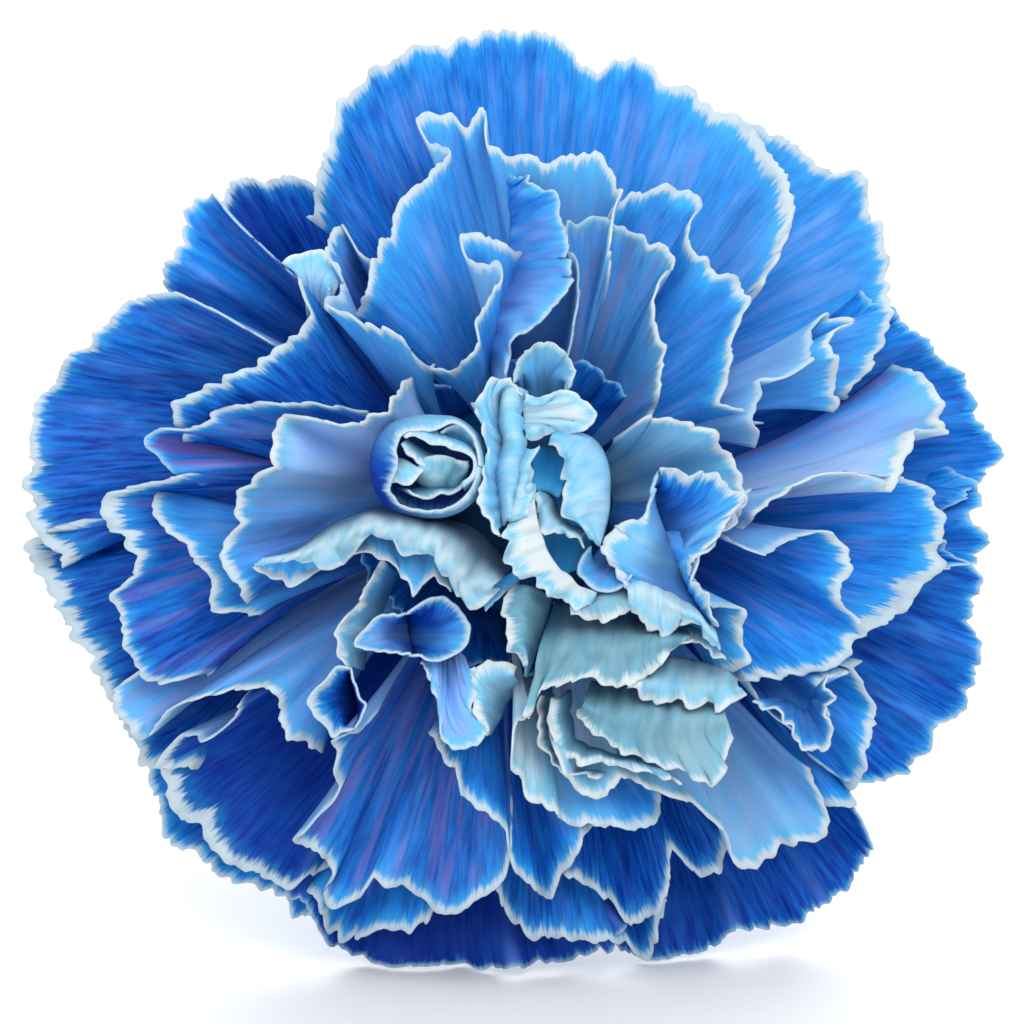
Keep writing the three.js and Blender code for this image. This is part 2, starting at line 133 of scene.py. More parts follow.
def ripples(at, waves, random):
    """The sum of several ripples, each given by its height and its wavelength."""
    return sum(height * ripple(at, wavelength, random) for height, wavelength in waves)


def crumple(at, inwards, wavelength, random):
    """Soft dents over a whole blade: eight plane waves in random directions, longer along the veins than
    across."""
    waves, stretch, evened = 8, 0.55, 3.2
    angle = random.uniform(-1, 1, (waves, 1, 1))
    pitch = wavelength * random.uniform(0.7, 1.6, (waves, 1, 1))
    run = at * np.cos(angle) + stretch * inwards * np.sin(angle)
    return np.sin(2 * math.pi * (run / pitch + random.uniform(0, 1, (waves, 1, 1)))).sum(0) / evened


def pinking(at, pitch, random):
    """Depth of the pinked edge from 0 at a tooth's tip to 1 between teeth: a triangle wave of uneven
    pitch."""
    pitches, depths = 60, 50
    steps = np.interp(at, np.linspace(0, at[-1], pitches), random.uniform(0.5, 1.8, pitches)) / pitch
    phase = np.cumsum(steps) * (at[1] - at[0])
    depth = np.interp(at, np.linspace(0, at[-1], depths), random.uniform(0, 1.0, depths) ** 1.6)
    return np.abs((phase % 1) * 2 - 1) * depth


def mesh_piece(name, points, quads, material, maps=(), values=()):
    """A mesh object from points and quads, with UV maps and point attributes given for each point."""
    mesh = bpy.data.meshes.new(name)
    mesh.vertices.add(len(points))
    mesh.vertices.foreach_set("co", (points * MM).ravel())
    mesh.loops.add(quads.size)
    mesh.loops.foreach_set("vertex_index", quads.ravel())
    mesh.polygons.add(len(quads))
    mesh.polygons.foreach_set("loop_start", np.arange(0, quads.size, 4))
    mesh.polygons.foreach_set("loop_total", np.full(len(quads), 4))
    mesh.update(calc_edges=True)
    mesh.polygons.foreach_set("use_smooth", np.ones(len(quads), bool))
    for label, places in maps:
        layer = mesh.uv_layers.new(name=label)
        layer.data.foreach_set("uv", places[quads.ravel()].ravel())
    for label, numbers in values:
        attribute = mesh.attributes.new(label, "FLOAT", "POINT")
        attribute.data.foreach_set("value", numbers)
    mesh.validate()
    mesh.materials.append(material)
    piece = bpy.data.objects.new(name, mesh)
    bpy.context.scene.collection.objects.link(piece)
    return piece


def thick_sheet(middle, thickness):
    """Two faces half a thickness either side of a grid of points, along its normals, and a strip of quads
    that joins them all round. Returns points, quads and, for each point, whether it is on the back."""
    rows, columns = middle.shape[:2]
    normal = unit(np.cross(np.gradient(middle, axis=1), np.gradient(middle, axis=0)))
    half = normal * np.asarray(thickness)[..., None] / 2
    points = np.concatenate([(middle + half).reshape(-1, 3), (middle - half).reshape(-1, 3)])
    index = np.arange(rows * columns).reshape(rows, columns)
    a, b, c, d = index[:-1, :-1], index[:-1, 1:], index[1:, 1:], index[1:, :-1]
    front = np.stack([a, b, c, d], -1).reshape(-1, 4)
    back = front[:, ::-1] + rows * columns
    ring = np.concatenate([index[0, :-1], index[:-1, -1], index[-1, :0:-1], index[:0:-1, 0]])
    after = np.roll(ring, -1)
    strip = np.stack([ring, ring + rows * columns, after + rows * columns, after], -1)
    under = np.repeat([0.0, 1.0], rows * columns)
    return points, np.concatenate([front, back, strip]), under


def sheet_places(across, inwards):
    """A map of places for both faces of a thick sheet, from two numbers over its grid."""
    return np.tile(np.stack(np.broadcast_arrays(across, inwards), -1).reshape(-1, 2), (2, 1))


def petal(name, middle, seed, reach=12.0, **dye_and_shade):
    """One petal from its middle surface, as a closed sheet that thins to its edge and rests on the table
    where it would sink into it. It is turned so that its front looks out of the bloom. Its map holds
    millimetres along the edge and in from it, and reach is the way in from the edge to where painted shade
    makes the blade darkest. The hollows between its folds are marked, from 1 down to -1 on its ridges, for
    painted shade in the hollows and a painted highlight on the ridges. The shares of dye and painted shade
    and the width of the white margin are each one number, or several spread along the edge."""
    rows, columns = middle.shape[:2]
    place = np.linspace(0, 1, columns)
    facing = np.cross(np.gradient(middle, axis=1), np.gradient(middle, axis=0))
    if (facing[rows // 2:] @ AXIS).sum() < 0:
        middle, place = middle[:, ::-1], place[::-1]
    over_table = (middle[..., 2] - BLADE_THICKNESS) / TABLE_SOFTNESS
    middle[..., 2] = BLADE_THICKNESS + TABLE_SOFTNESS * np.logaddexp(0, over_table)
    steps = np.linalg.norm(np.diff(middle, axis=0), axis=-1)
    inwards = np.concatenate([np.cumsum(steps[::-1], axis=0)[::-1], np.zeros((1, columns))])
    edge_steps = np.linalg.norm(np.diff(middle[-1], axis=0), axis=-1)
    across = np.concatenate([[0], np.cumsum(edge_steps)]) + MAP_STEP * seed
    to_edge = np.linspace(0, 1, rows)[:, None] * np.ones((1, columns))
    points, quads, under = thick_sheet(middle, BLADE_THICKNESS * (1 - EDGE_THINNING * to_edge**8))
    level = (middle @ AXIS).T
    hollow = np.clip((smoothed(level, across, HOLLOW_WIDTH) - level).T / HOLLOW_DEPTH, -1, 1)
    # The depth, from the edge in to the reach, and the hollows drive painted shade in the material.
    values = [("under", under), ("depth", np.tile(np.clip(inwards / reach, 0, 1).ravel(), 2))]
    values.append(("hollow", np.tile(hollow.ravel(), 2)))
    for label, given in {"margin": 0.6, "tone": 0, "navy_and_shade": 0, "mauve": 0, "grey_shade": 0, **dye_and_shade}.items():
        spread = np.interp(place, np.linspace(0, 1, np.size(given)), np.atleast_1d(given))
        values.append((label, np.tile(spread, 2 * rows)))
    piece = mesh_piece(name, points, quads, petal_finish, [("blade", sheet_places(across, inwards))], values)
    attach(piece, "root")
    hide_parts("bloom")


class Wire:
    """A socket in a material's nodes. Arithmetic on it adds Math nodes."""

    def __init__(self, tree, socket=None):
        self.tree = tree
        self.socket = socket

    def node(self, kind, settings, inputs, output=0):
        """A node of this kind, its settings made first, then its inputs: values, or wires to link."""
        made = self.tree.nodes.new(kind)
        for key, value in settings.items():
            setattr(made, key, value)
        for key, value in inputs.items():
            if isinstance(value, Wire):
                self.tree.links.new(value.socket, made.inputs[key])
            else:
                made.inputs[key].default_value = value
        return Wire(self.tree, made.outputs[output])

    def maths(self, operation, first, second):
        return self.node("ShaderNodeMath", {"operation": operation}, {0: first, 1: second})

    def __add__(self, other):
        return self.maths("ADD", self, other)

    __radd__ = __add__

    def __sub__(self, other):
        return self.maths("SUBTRACT", self, other)

    def __rsub__(self, other):
        return self.maths("SUBTRACT", other, self)

    def __mul__(self, other):
        return self.maths("MULTIPLY", self, other)

    __rmul__ = __mul__

    def between(self, low, high):
        """0 below low, 1 above high, and a smooth step between."""
        settings = {"interpolation_type": "SMOOTHSTEP"}
        return self.node("ShaderNodeMapRange", settings, {"Value": self, "From Min": low, "From Max": high})

    def mix(self, first, second):
        """The first colour where this is 0, the second where it is 1."""
        settings = {"data_type": "RGBA", "clamp_factor": True}
        return self.node("ShaderNodeMix", settings, {0: self, 6: first, 7: second}, 2)

    def place(self, label):
        """A place on the piece's own map of this name, and the second of its two numbers."""
        on_map = self.node("ShaderNodeUVMap", {"uv_map": label}, {})
        return on_map, self.node("ShaderNodeSeparateXYZ", {}, {"Vector": on_map}, 1)

    def stretched(self, across, along):
        """This place, with its two numbers times these."""
        return self.node("ShaderNodeMapping", {}, {"Vector": self, "Scale": (across, along, 1.0)})

    def noise(self, scale, detail):
        """Noise at this place, so many patches to a unit."""
        inputs = {"Vector": self, "Scale": scale, "Detail": detail, "Roughness": 0.55}
        return self.node("ShaderNodeTexNoise", {"noise_dimensions": "3D"}, inputs)

    def attribute(self, label):
        return self.node("ShaderNodeAttribute", {"attribute_name": label}, {}, 2)

    def into(self, shader, label):
        """Links this to the shader's input of that name."""
        self.tree.links.new(self.socket, shader.inputs[label])

    def relief(self, shader, strength):
        """Raises the shader's surface where this is high, by a fifth of a millimetre at full strength."""
        bump = self.node("ShaderNodeBump", {}, {"Strength": strength, "Distance": 0.2 * MM, "Height": self})
        bump.into(shader, "Normal")


def finish(name, roughness, **constants):
    """A new material: itself, its first wire, and its Principled shader with the constants on its own
    sockets."""
    material = bpy.data.materials.new(name)
    material.use_nodes = True
    tree = material.node_tree
    shader = tree.nodes["Principled BSDF"]
    shader.inputs["Roughness"].default_value = roughness
    for key, value in constants.items():
        shader.inputs[key.replace("_", " ")].default_value = value
    return material, Wire(tree), shader


# Dye on the petals: drawn up the veins, so that its colour streaks along them and stops raggedly short of
# the white edge. The heart of the bloom has hardly taken it. Each petal has its own shares: of pale (tone,
# from 1 on turning white), navy (partly dye, partly painted shade on petals that lie in shade), mauve
# (lilac where the petal is pale) and grey (painted shade on pale petals).
OFF_WHITE = (0.56, 0.62, 0.64, 1)
MARGIN = (0.46, 0.56, 0.62, 1)
CYAN = (0.04, 0.38, 0.78, 1)
TEAL = (0.01, 0.16, 0.38, 1)
AZURE = (0.02, 0.33, 0.88, 1)
ROYAL = (0.005, 0.15, 0.60, 1)
NAVY = (0.001, 0.022, 0.26, 1)
MIDNIGHT = (0.0, 0.018, 0.25, 1)
PERIWINKLE = (0.17, 0.34, 0.80, 1)
MAUVE = (0.19, 0.14, 0.42, 1)
PALE = (0.165, 0.48, 0.67, 1)
LILAC = (0.33, 0.50, 1.0, 1)
SHADE_GREY_TEAL = (0.085, 0.22, 0.29, 1)
DEPTH_SHADE_TEAL = (0.0015, 0.04, 0.12, 1)
UNDERSIDE = (0.24, 0.42, 0.64, 1)

petal_finish, wire, shader = finish("petal_dye_and_painted_shade", 0.6, Specular_IOR_Level=0.12)
blade, inwards = wire.place("blade")
along_veins = blade.stretched(1.0, 0.16)
hairs = along_veins.noise(3.2, 2.0)
fine = along_veins.noise(1.7, 3.0)
broad = along_veins.noise(0.6, 2.0)
patches = blade.stretched(0.6, 0.3).noise(0.4, 2.0)
under, margin, depth, hollow = (wire.attribute(label) for label in ("under", "margin", "depth", "hollow"))
tone, navy_and_shade, mauve, grey_shade = (wire.attribute(label) for label in ("tone", "navy_and_shade", "mauve", "grey_shade"))
# Painted shade: the blade darkens deep in the bloom, towards its claw, and in the hollows of its folds.
painted_depth_shade = depth.between(0.35, 1.0)
painted_hollow_shade = hollow.between(0.1, 1.0) * 0.45

# The dyed share: azure to navy streaks, with periwinkle ones near the edge. Painted shade makes it navy deep
# down and in the hollows, and a painted highlight makes it periwinkle on the ridges.
lit = (0.6 * fine + 0.4 * hairs).between(0.3, 0.72).mix(AZURE, ROYAL)
lit = (broad.between(0.4, 0.7) * inwards.between(1.5, 5.0) * 0.65).mix(lit, PERIWINKLE)
lit = (hairs.between(0.54, 0.8) * (1 - depth) * 0.5).mix(lit, PALE)
# The navy share, partly dye and partly painted shade, turns the streaks royal and navy, and past 1 midnight.
dark = fine.between(0.25, 0.75).mix(ROYAL, NAVY)
blue = (navy_and_shade + 1.5 * (patches - 0.5)).mix(lit, dark)
blue = ((navy_and_shade - 1) * 0.9).mix(blue, MIDNIGHT)
blue = (mauve * broad.between(0.45, 0.6)).mix(blue, MAUVE)
blue = (painted_depth_shade * 0.5).mix(blue, NAVY)
blue = painted_hollow_shade.mix(blue, NAVY)
# A painted highlight: periwinkle on the ridges between the hollows.
blue = ((0 - hollow).between(0.1, 1.0) * 0.3).mix(blue, PERIWINKLE)

# The share that has hardly taken it: pale cyan to off-white, or lilac, with grey-teal painted shade, and
# painted shade deep down and in the hollows.
pale = (0.6 * tone * (fine + 0.6 * (patches - 0.5)).between(0.25, 0.8)).mix(PALE, OFF_WHITE)
pale = (tone - 1).mix(pale, OFF_WHITE)
pale = (mauve * 0.7).mix(pale, LILAC)
# Painted shade: grey-teal on pale petals where the grey share is set.
pale = (grey_shade * (0.55 + 0.9 * fine)).mix(pale, SHADE_GREY_TEAL)
# Painted shade on the pale share as well: deep teal deep down, teal in the hollows.
pale = (painted_depth_shade * 0.6).mix(pale, DEPTH_SHADE_TEAL)
pale = painted_hollow_shade.mix(pale, TEAL)
body = tone.mix(blue, pale)

# The edge: a cyan fringe that ends in ragged streaks, outside it the white margin, and the paler underside.
# The navy share, part painted shade, turns the fringe teal.
ragged = inwards + 2.4 * (hairs - 0.5) + 1.8 * (broad - 0.5)
fringe = (navy_and_shade * 0.45).mix((1 - tone * 0.85).mix(PALE, CYAN), TEAL)
fringe = (grey_shade * 0.9).mix(fringe, pale)
colour = (ragged + 0.3 * navy_and_shade).between(0.2, 1.2 + 2.2 * margin).mix(fringe, body)
white_edge = inwards + (0.35 + 1.7 * margin) * (hairs - 0.5) - margin * 2.0 * broad
colour = (1 - white_edge.between(-0.4, 0.5)).mix(colour, tone.mix(MARGIN, OFF_WHITE))
colour = (under * 0.5).mix(colour, UNDERSIDE)
colour.into(shader, "Base Color")
fine.relief(shader, 0.3)

# Fan petals, of the outer and middle layers. As seen in the photo each fills the sector from the flower's
# axis to its rim, and its height follows a power of the share of the way, up to a dome that all rims lie
# on. Rows crowd towards the rim, and the blade twists towards its claw.
DOME_HEIGHT = 22.0
DOME_RADIUS = 41.0
DOME_POWER = 2.2
CLAW_HEIGHT = -16.0
CLAW_SHARE = 0.14
FLAT_POWER = 0.22
STEEP_POWER = 0.62
EDGE_TUCK = 4.0
TUCK_WIDTH = 3.5
TUCK_POWER = 1.5
ROW_CROWDING = 0.72
FOLD_WIDTH = 6.0
FOLD_POWER = 2.6
LIP_WIDTH = 2.0
TOOTH_PITCH = 1.1
TWIST = 0.25
TWIST_POWER = 1.3
RIM_WAVES = [(0.35, 4.5), (0.25, 2.1)]
BLADE_WAVES = [(0.9, 9)]
LIP_WAVES = [(0.45, 2.6)]
SOFT_DENTS = 0.45
DENT_SIZE = 7


def fan_petal(name, rim, sink, seed, ruffle, teeth, **dye_and_shade):
    """A petal whose rim, given from one side to the other, lies on the dome less its sink, its sides tucked
    under. Towards the claw the rim's folds fade into their average. The rim ripples, and its teeth shorten
    the lines."""
    random = np.random.default_rng(seed)
    line, at = even_line(rim, columns_for(rim))
    side = np.minimum(at, at[-1] - at)
    tuck = EDGE_TUCK * np.clip(1 - side / TUCK_WIDTH, 0, 1) ** TUCK_POWER
    radius = np.hypot(*line.T)
    dome = DOME_HEIGHT * (1 - (radius / DOME_RADIUS) ** DOME_POWER)
    climb = dome - sink - tuck - CLAW_HEIGHT
    power = STEEP_POWER + (FLAT_POWER - STEEP_POWER) * np.minimum(radius / DOME_RADIUS, 1)
    way = np.linspace(0, 1, ROWS)[:, None] ** ROW_CROWDING
    folded = way**FOLD_POWER
    x, y, climb = (folded * own + (1 - folded) * smoothed(own, at, FOLD_WIDTH) for own in (*line.T, climb))
    wiggle = ruffle * ripples(at, RIM_WAVES, random)
    reach = 1 + (wiggle - teeth * pinking(at, TOOTH_PITCH, random)) / radius
    share = CLAW_SHARE + (reach - CLAW_SHARE) * way
    height = CLAW_HEIGHT + climb * share**power
    lip = np.exp(-(1 - way) * radius / LIP_WIDTH)
    waves = ripples(at, BLADE_WAVES, random) * way**2 + ripples(at, LIP_WAVES, random) * lip
    dents = crumple(at * np.ones_like(way), (1 - way) * radius, DENT_SIZE, random)
    height = height + ruffle * waves + SOFT_DENTS * dents * way
    twist = random.uniform(-TWIST, TWIST) * (1 - way) ** TWIST_POWER
    x, y = x * np.cos(twist) - y * np.sin(twist), x * np.sin(twist) + y * np.cos(twist)
    petal(name, as_seen(x * share, y * share, height), seed, **dye_and_shade)


# Each has its sink under the dome, its shares of dye and painted shade, and its rim. The guards run clockwise
# from the top one, and those low in the bloom and on its left carry painted shade in their navy share. The
# second layer lies over them, and the last three of the middle layer only fill the dark behind the heart,
# with painted shade in their navy share.
GUARDS = [
    (1, dict(tone=(0, 0, 0.05, 0.15, 0.2), navy_and_shade=(0.8, 0.5, 0.1, 0, 0), margin=(1.0, 0.6, 0.4, 0.5, 1.2, 1.6)),
     [(-17, 24), (-15.3, 31), (-14, 34), (-12, 36.2), (-8, 38.3), (-4, 39), (0, 40), (4, 39), (7, 36.4),
      (10, 37.7), (12.8, 35.6), (17, 33.6), (20.5, 31), (23.2, 27), (23.2, 23), (20, 17)]),
    (4, dict(tone=0.15, reach=26),
     [(17, 33), (22.5, 31), (25.6, 28.5), (29, 27.6), (30.5, 24), (31.4, 20.5), (31.4, 14.5), (28, 9)]),
    (2.5, dict(navy_and_shade=0.5, margin=0),
     [(29, 18), (32.5, 16), (35.3, 13), (37.7, 11), (38.7, 8), (40.6, 5), (39.2, 2), (35, -1)]),
    (2.8, dict(navy_and_shade=0.3, margin=0.1),
     [(36, 3.5), (39.3, 1.5), (38.4, -1), (40, -3), (38.4, -4.6), (34, -5.4)]),
    (3, dict(navy_and_shade=0.85, margin=0.1),
     [(35, -2), (39, -6), (38.5, -10), (39.2, -13), (38, -16), (35.5, -19), (32.5, -22.4), (28.5, -23),
      (25, -21)]),
    (4, dict(navy_and_shade=(1.0, 1.3, 1.4, 1.2), margin=0),
     [(26, -22), (29.5, -26.5), (29.2, -30.5), (26.3, -33), (23, -35), (19, -35.3), (16, -37.6), (12, -39),
      (10.3, -38), (7, -35)]),
    (2.5, dict(navy_and_shade=(1.5, 1.9, 1.9, 1.5), margin=0),
     [(-20, -30), (-16.5, -34.8), (-13, -38), (-10, -39.6), (-6, -39.3), (-3, -40), (0.5, -38.6), (5, -38),
      (8, -36.8), (11, -33)]),
    (4, dict(navy_and_shade=0.8, margin=0.3),
     [(-32, -16), (-30.3, -22.5), (-29, -27), (-25, -30.3), (-20.5, -32.2), (-17, -34), (-13, -32)]),
    (2.5, dict(navy_and_shade=1.1, margin=(2.0, 1.2, 0.7, 1.0)),
     [(-36, -1), (-40.6, -3), (-39.3, -6), (-37.8, -9), (-35.7, -12), (-34, -15.5), (-32, -19),
      (-30.8, -21.5), (-26, -22)]),
    (1, dict(navy_and_shade=(0.6, 0.8, 1.0, 1.0), mauve=0.05, margin=(0.3, 0.4, 0.5, 1.4), reach=26),
     [(-19, 13), (-24.5, 16.2), (-29, 18), (-33, 16.3), (-36.5, 12.6), (-39, 10), (-40.4, 5), (-40.3, 1),
      (-40.3, -1.5), (-37, -5)]),
    (6, dict(navy_and_shade=(1.4, 1.8, 1.7, 1.0, 0.6)),
     [(-26, 17), (-27.2, 19.6), (-26.8, 21), (-26.2, 22.6), (-25, 24.4), (-23.8, 26.4), (-22.5, 27.6),
      (-20.6, 27.3), (-18.8, 27.6), (-16.5, 27), (-13, 26)]),
]
SECOND = [
    (2, dict(navy_and_shade=0.5),
     [(-17.5, -31), (-14.5, -36.3), (-12.5, -35.6), (-10, -35.4), (-8.5, -35.3), (-6.5, -34), (-3, -31)]),
    (2, dict(navy_and_shade=0.8),
     [(-2, -29), (-0.8, -33.3), (1, -35.5), (4, -36.2), (9, -36.3), (11.2, -38), (13, -33)]),
    (1, dict(navy_and_shade=0.85, mauve=0.3, margin=(0.5, 1.2, 1.5, 0.5, 0.4, 0.4, 0.5)),
     [(-26, 3), (-31.5, 1.7), (-34, 0.8), (-34.2, -1.4), (-32.3, -2.6), (-31.6, -5.3), (-33.2, -7.4),
      (-32.8, -10), (-31.7, -12.5), (-30.5, -14.6), (-25, -14)]),
    (0.5, dict(tone=(0.5, 0.4, 0.35, 0.3), mauve=0.55, reach=28),
     [(-30, -13), (-33.4, -15.8), (-31, -19.4), (-28.7, -17), (-25.5, -15.8), (-20.5, -15.1), (-19.5, -16.5),
      (-19.3, -18.5), (-16, -20.7)]),
    (2, dict(navy_and_shade=1.7, margin=(0.2, 0.2, 0.6, 1.3, 1.4, 0.9, 0.6, 0.5)),
     [(-21, -14), (-23.7, -18), (-25.5, -19.3), (-28, -19.3), (-29.4, -22), (-28.3, -25.3), (-26.6, -26.4),
      (-24.3, -29.2), (-21.5, -30.7), (-18.5, -31.6), (-15, -30)]),
    (1, dict(tone=(0.6, 1.1, 1.3, 1.3, 0.8, 0), mauve=0.7, margin=(0.5, 0.6, 1.3, 0.2), reach=40),
     [(19, -2), (22, 0.7), (25.5, 2.6), (28, 2.8), (30, 2.6), (31.8, 1.3), (32.8, 3.6), (34, 6.5),
      (36.4, 6.2), (35.6, 9), (34.9, 10.6), (32, 12)]),
    (2, dict(navy_and_shade=0.2, margin=(0.3, 0.4, 0.7, 1.8, 1.6, 1.2)),
     [(28, 3), (34, 2), (36, -1), (35.5, -5.5), (34.3, -6.6), (32.8, -8.6), (30.8, -10), (26, -12)]),
    (2, dict(navy_and_shade=0.3),
     [(24, -13), (28.5, -13.5), (30, -16.5), (30.2, -19.5), (28.6, -23.3), (28.6, -24.9), (25, -25)]),
    (2.5, dict(navy_and_shade=1.1),
     [(3, -29), (5, -31), (8.3, -33), (10, -35), (12, -34), (13, -32), (13.5, -29), (16.5, -31), (19, -27)]),
    (2, dict(tone=0.1, reach=24),
     [(6, 22), (10, 26.2), (13, 26.6), (16.1, 25.8), (14.8, 23.5), (16, 20.6), (19.8, 18.2), (19, 15.5),
      (18, 11.2), (18.2, 8.3), (21, 7)]),
    (1, dict(tone=0.25),
     [(20.6, 5), (20.4, 9), (20.8, 10.7), (23.2, 11), (25.2, 12.8), (25.6, 15.8), (28.6, 15.5), (26.8, 14.4),
      (27.2, 10.5), (27, 8)]),
    (1, dict(tone=(0.1, 0.15, 0.4, 0.45), reach=22),
     [(-13.5, 15), (-11.8, 19.8), (-10.5, 23), (-8.5, 26.5), (-5.2, 29.5), (-7.3, 31), (-7.8, 32.4),
      (-5.3, 33), (-4, 31.8), (-2.3, 33), (-2, 30.5), (1, 29), (5, 29.5), (8.2, 28.7), (9, 26), (8.5, 24.5),
      (8, 18)]),
    (3, dict(tone=0.25, navy_and_shade=0.6, mauve=0.3, reach=5), [(-17, 18), (-14.6, 23.5), (-12.5, 21), (-9, 20)]),
    (2.6, dict(navy_and_shade=(0.9, 0.5, 0.3, 0.5, 1.2, 1.4), mauve=(0, 0, 0.1, 0.3, 0.4),
               margin=(0.3, 0.3, 0.3, 0.2, -0.1, -0.15)),
     [(-28, 16.8), (-29.3, 19), (-28.3, 20.6), (-27.8, 22.6), (-26.7, 25.2), (-25.4, 26.3), (-24.5, 25.6),
      (-23.4, 24.2), (-22.2, 23), (-20.6, 21.5), (-18.4, 19.5), (-17.2, 18.2)]),
]
MIDDLE = [
    (0, dict(navy_and_shade=(0.9, 0.9, 0.6, 0), tone=(0, 0, 0.1, 0.35)),
     [(-27.5, 5.5), (-28.4, 8.3), (-26, 9.8), (-22, 11.7), (-18.5, 14), (-17.2, 16), (-17.7, 19),
      (-18.9, 20.8), (-17, 20.8), (-14.8, 20.2), (-14.5, 18.2), (-15.8, 16.8), (-13, 15.8), (-9.5, 14.3),
      (-8, 12.5), (-6.5, 12)]),
    (0, dict(tone=0.2),
     [(-7, 11.5), (-4.5, 12), (-2.8, 13.5), (-3, 16), (-1, 18.7), (-1.2, 20.3), (-3.6, 20.8), (-4.2, 22.4),
      (-2.2, 22.8), (1, 21)]),
    (1.5, dict(navy_and_shade=0.4, mauve=(0.9, 0.8, 0.3, 0.2, 0.2), margin=(-0.1, 0.1, 0.6, 0.6, 0.6)),
     [(-26, 1.8), (-29, 3.5), (-30.6, 5.2), (-29.5, 6.4), (-26.5, 6.7), (-24, 8.3), (-20, 8.7), (-16.5, 8.6),
      (-12, 8)]),
    (0, dict(tone=(0, 0.3, 1.1, 1.1, 0.9), navy_and_shade=(0.7, 0.5, 0, 0, 0), mauve=(0.1, 0.2, 0.9, 0.9, 0.7),
             reach=18),
     [(-22, -8), (-23.7, -6), (-24.2, -4), (-23.2, -1.5), (-23, 0.8), (-20.7, 3.2), (-19.8, 5.8),
      (-19.5, 7.5), (-17, 7.5), (-14, 6.9), (-11, 8), (-8.5, 11)]),
    (1.5, dict(tone=0.15, navy_and_shade=0.2),
     [(-29, 2), (-30.2, 0), (-28.5, -2.1), (-26.6, -4.4), (-25.2, -5.6), (-25, -8.5), (-21, -9)]),
    (0.5, dict(tone=0.05, navy_and_shade=0.75, mauve=0.4, reach=26),
     [(-11.5, -17.6), (-12.9, -18.8), (-14.9, -19.4), (-14.8, -21.5), (-14.6, -24), (-17, -26.7),
      (-18.4, -28.2), (-15.8, -28.9), (-15, -31), (-15.8, -32.6), (-13.3, -33), (-11.6, -31.5), (-9.2, -31.5),
      (-7.3, -33.2), (-4.5, -33.8), (-2, -32.3), (-0.3, -30), (0, -25)]),
    (1, dict(navy_and_shade=0.5),
     [(-7, -19), (-4.7, -22.3), (-3.8, -24.7), (-0.9, -26.3), (0, -29.8), (1.6, -31.5), (2.8, -33), (4, -31),
      (5.7, -28.5), (7, -26)]),
    (0.5, dict(tone=(1.7, 1.8, 1.4, 0.5, 0.1, 0), reach=60),
     [(1, -15), (1.5, -17.6), (0.3, -18.6), (0, -20), (0, -22), (0.8, -23), (1.2, -24.3), (2.5, -24.9),
      (3.8, -25.5), (4.2, -26.6), (6.5, -26.5), (9, -26.9), (12, -26.4), (12.5, -23)]),
    (0, dict(tone=(1.2, 1.0, 0.8, 0.7, 0.4), mauve=0.3, reach=45),
     [(3, -19), (4.3, -22), (4.9, -23), (6, -24.2), (7.5, -24.3), (8.5, -23.3), (9.3, -22.6), (10.6, -23.3),
      (13, -24), (15, -24.8), (16.5, -26), (18, -27.4), (18.8, -30), (21.3, -29.5), (23.5, -28),
      (26.5, -27.2), (25, -22)]),
    (0.5, dict(tone=0.15, navy_and_shade=0.2),
     [(18.5, -12), (21, -16.6), (23.5, -18.7), (25, -20.3), (26.6, -19.2), (26.2, -16.5), (26.2, -14.6),
      (29.5, -13)]),
    (0, dict(navy_and_shade=0.4, margin=0.8),
     [(17, -2), (21, -4), (23.5, -2.6), (26.8, -2.2), (28.4, -5.2), (27.4, -7), (28.5, -9.2), (29.4, -10.5),
      (27.5, -13), (24, -14), (20.5, -14.5), (17, -14)]),
    (0, dict(tone=0.2, margin=0.8),
     [(20, 1.5), (18.5, -1.5), (15.7, -4), (15.3, -6), (16.8, -8.4), (19.2, -8.5), (19.4, -11), (19.5, -13),
      (17, -15)]),
    (1.5, dict(tone=0.4, grey_shade=0.8, mauve=0.5, margin=(0, 0, 0, 0.4, 0.5, 0.5), reach=26),
     [(4, 11), (5, 14), (5.6, 19.5), (4.6, 22), (5, 24), (9, 23.5), (13.6, 20.8), (12.4, 19), (11.8, 16.5),
      (12.7, 13), (12.2, 9), (11.5, 7)]),
    (0.5, dict(tone=0.75, reach=40), [(9, 6), (11.5, 7.5), (15, 7), (17.6, 5.3), (19.3, 2.2), (19, -1)]),
    (8, dict(navy_and_shade=0.8, margin=-0.15, reach=30), [(-3, 9), (1, 13), (6, 12), (10, 9), (13, 4), (13, 0)]),
    (8, dict(navy_and_shade=0.8, margin=-0.15, reach=30), [(13, 1), (14, -5), (12, -11), (9, -13), (4, -14), (0, -14)]),
    (11, dict(navy_and_shade=0.8, margin=-0.15, reach=30),
     [(1, -13), (-4, -13), (-9, -9), (-12, -6), (-13, 0), (-11, 6), (-7, 10), (-2, 10)]),
]
for layer, petals, first_seed, reach, ruffle, teeth in [
    ("guard", GUARDS, 1, 20, 0.9, 0.7),
    ("second", SECOND, 20, 15, 0.9, 0.5),
    ("middle", MIDDLE, 40, 12, 0.8, 0.4),
]:
    for number, (sink, dye_and_shade, rim) in enumerate(petals):
        dye_and_shade = {"reach": reach, **dye_and_shade}
        fan_petal(f"{layer}_petal_{number + 1}", rim, sink, first_seed + number, ruffle, teeth, **dye_and_shade)

# Folded petals of the heart, which stand up, lean over or curl, so that each is a smooth sheet through
# lines that run from its foot, over its fold if it has one, to its rim. Each line is given by its height
# and its points.
FOLD_RIM_WAVES = [(0.6, 4), (0.5, 1.8)]
SWAY_WAVES = [(0.5, 3), (0.4, 1.4)]
FOLD_DENTS = 0.8
FOLD_DENT_SIZE = 2.2
FOLD_CROWDING = 0.85


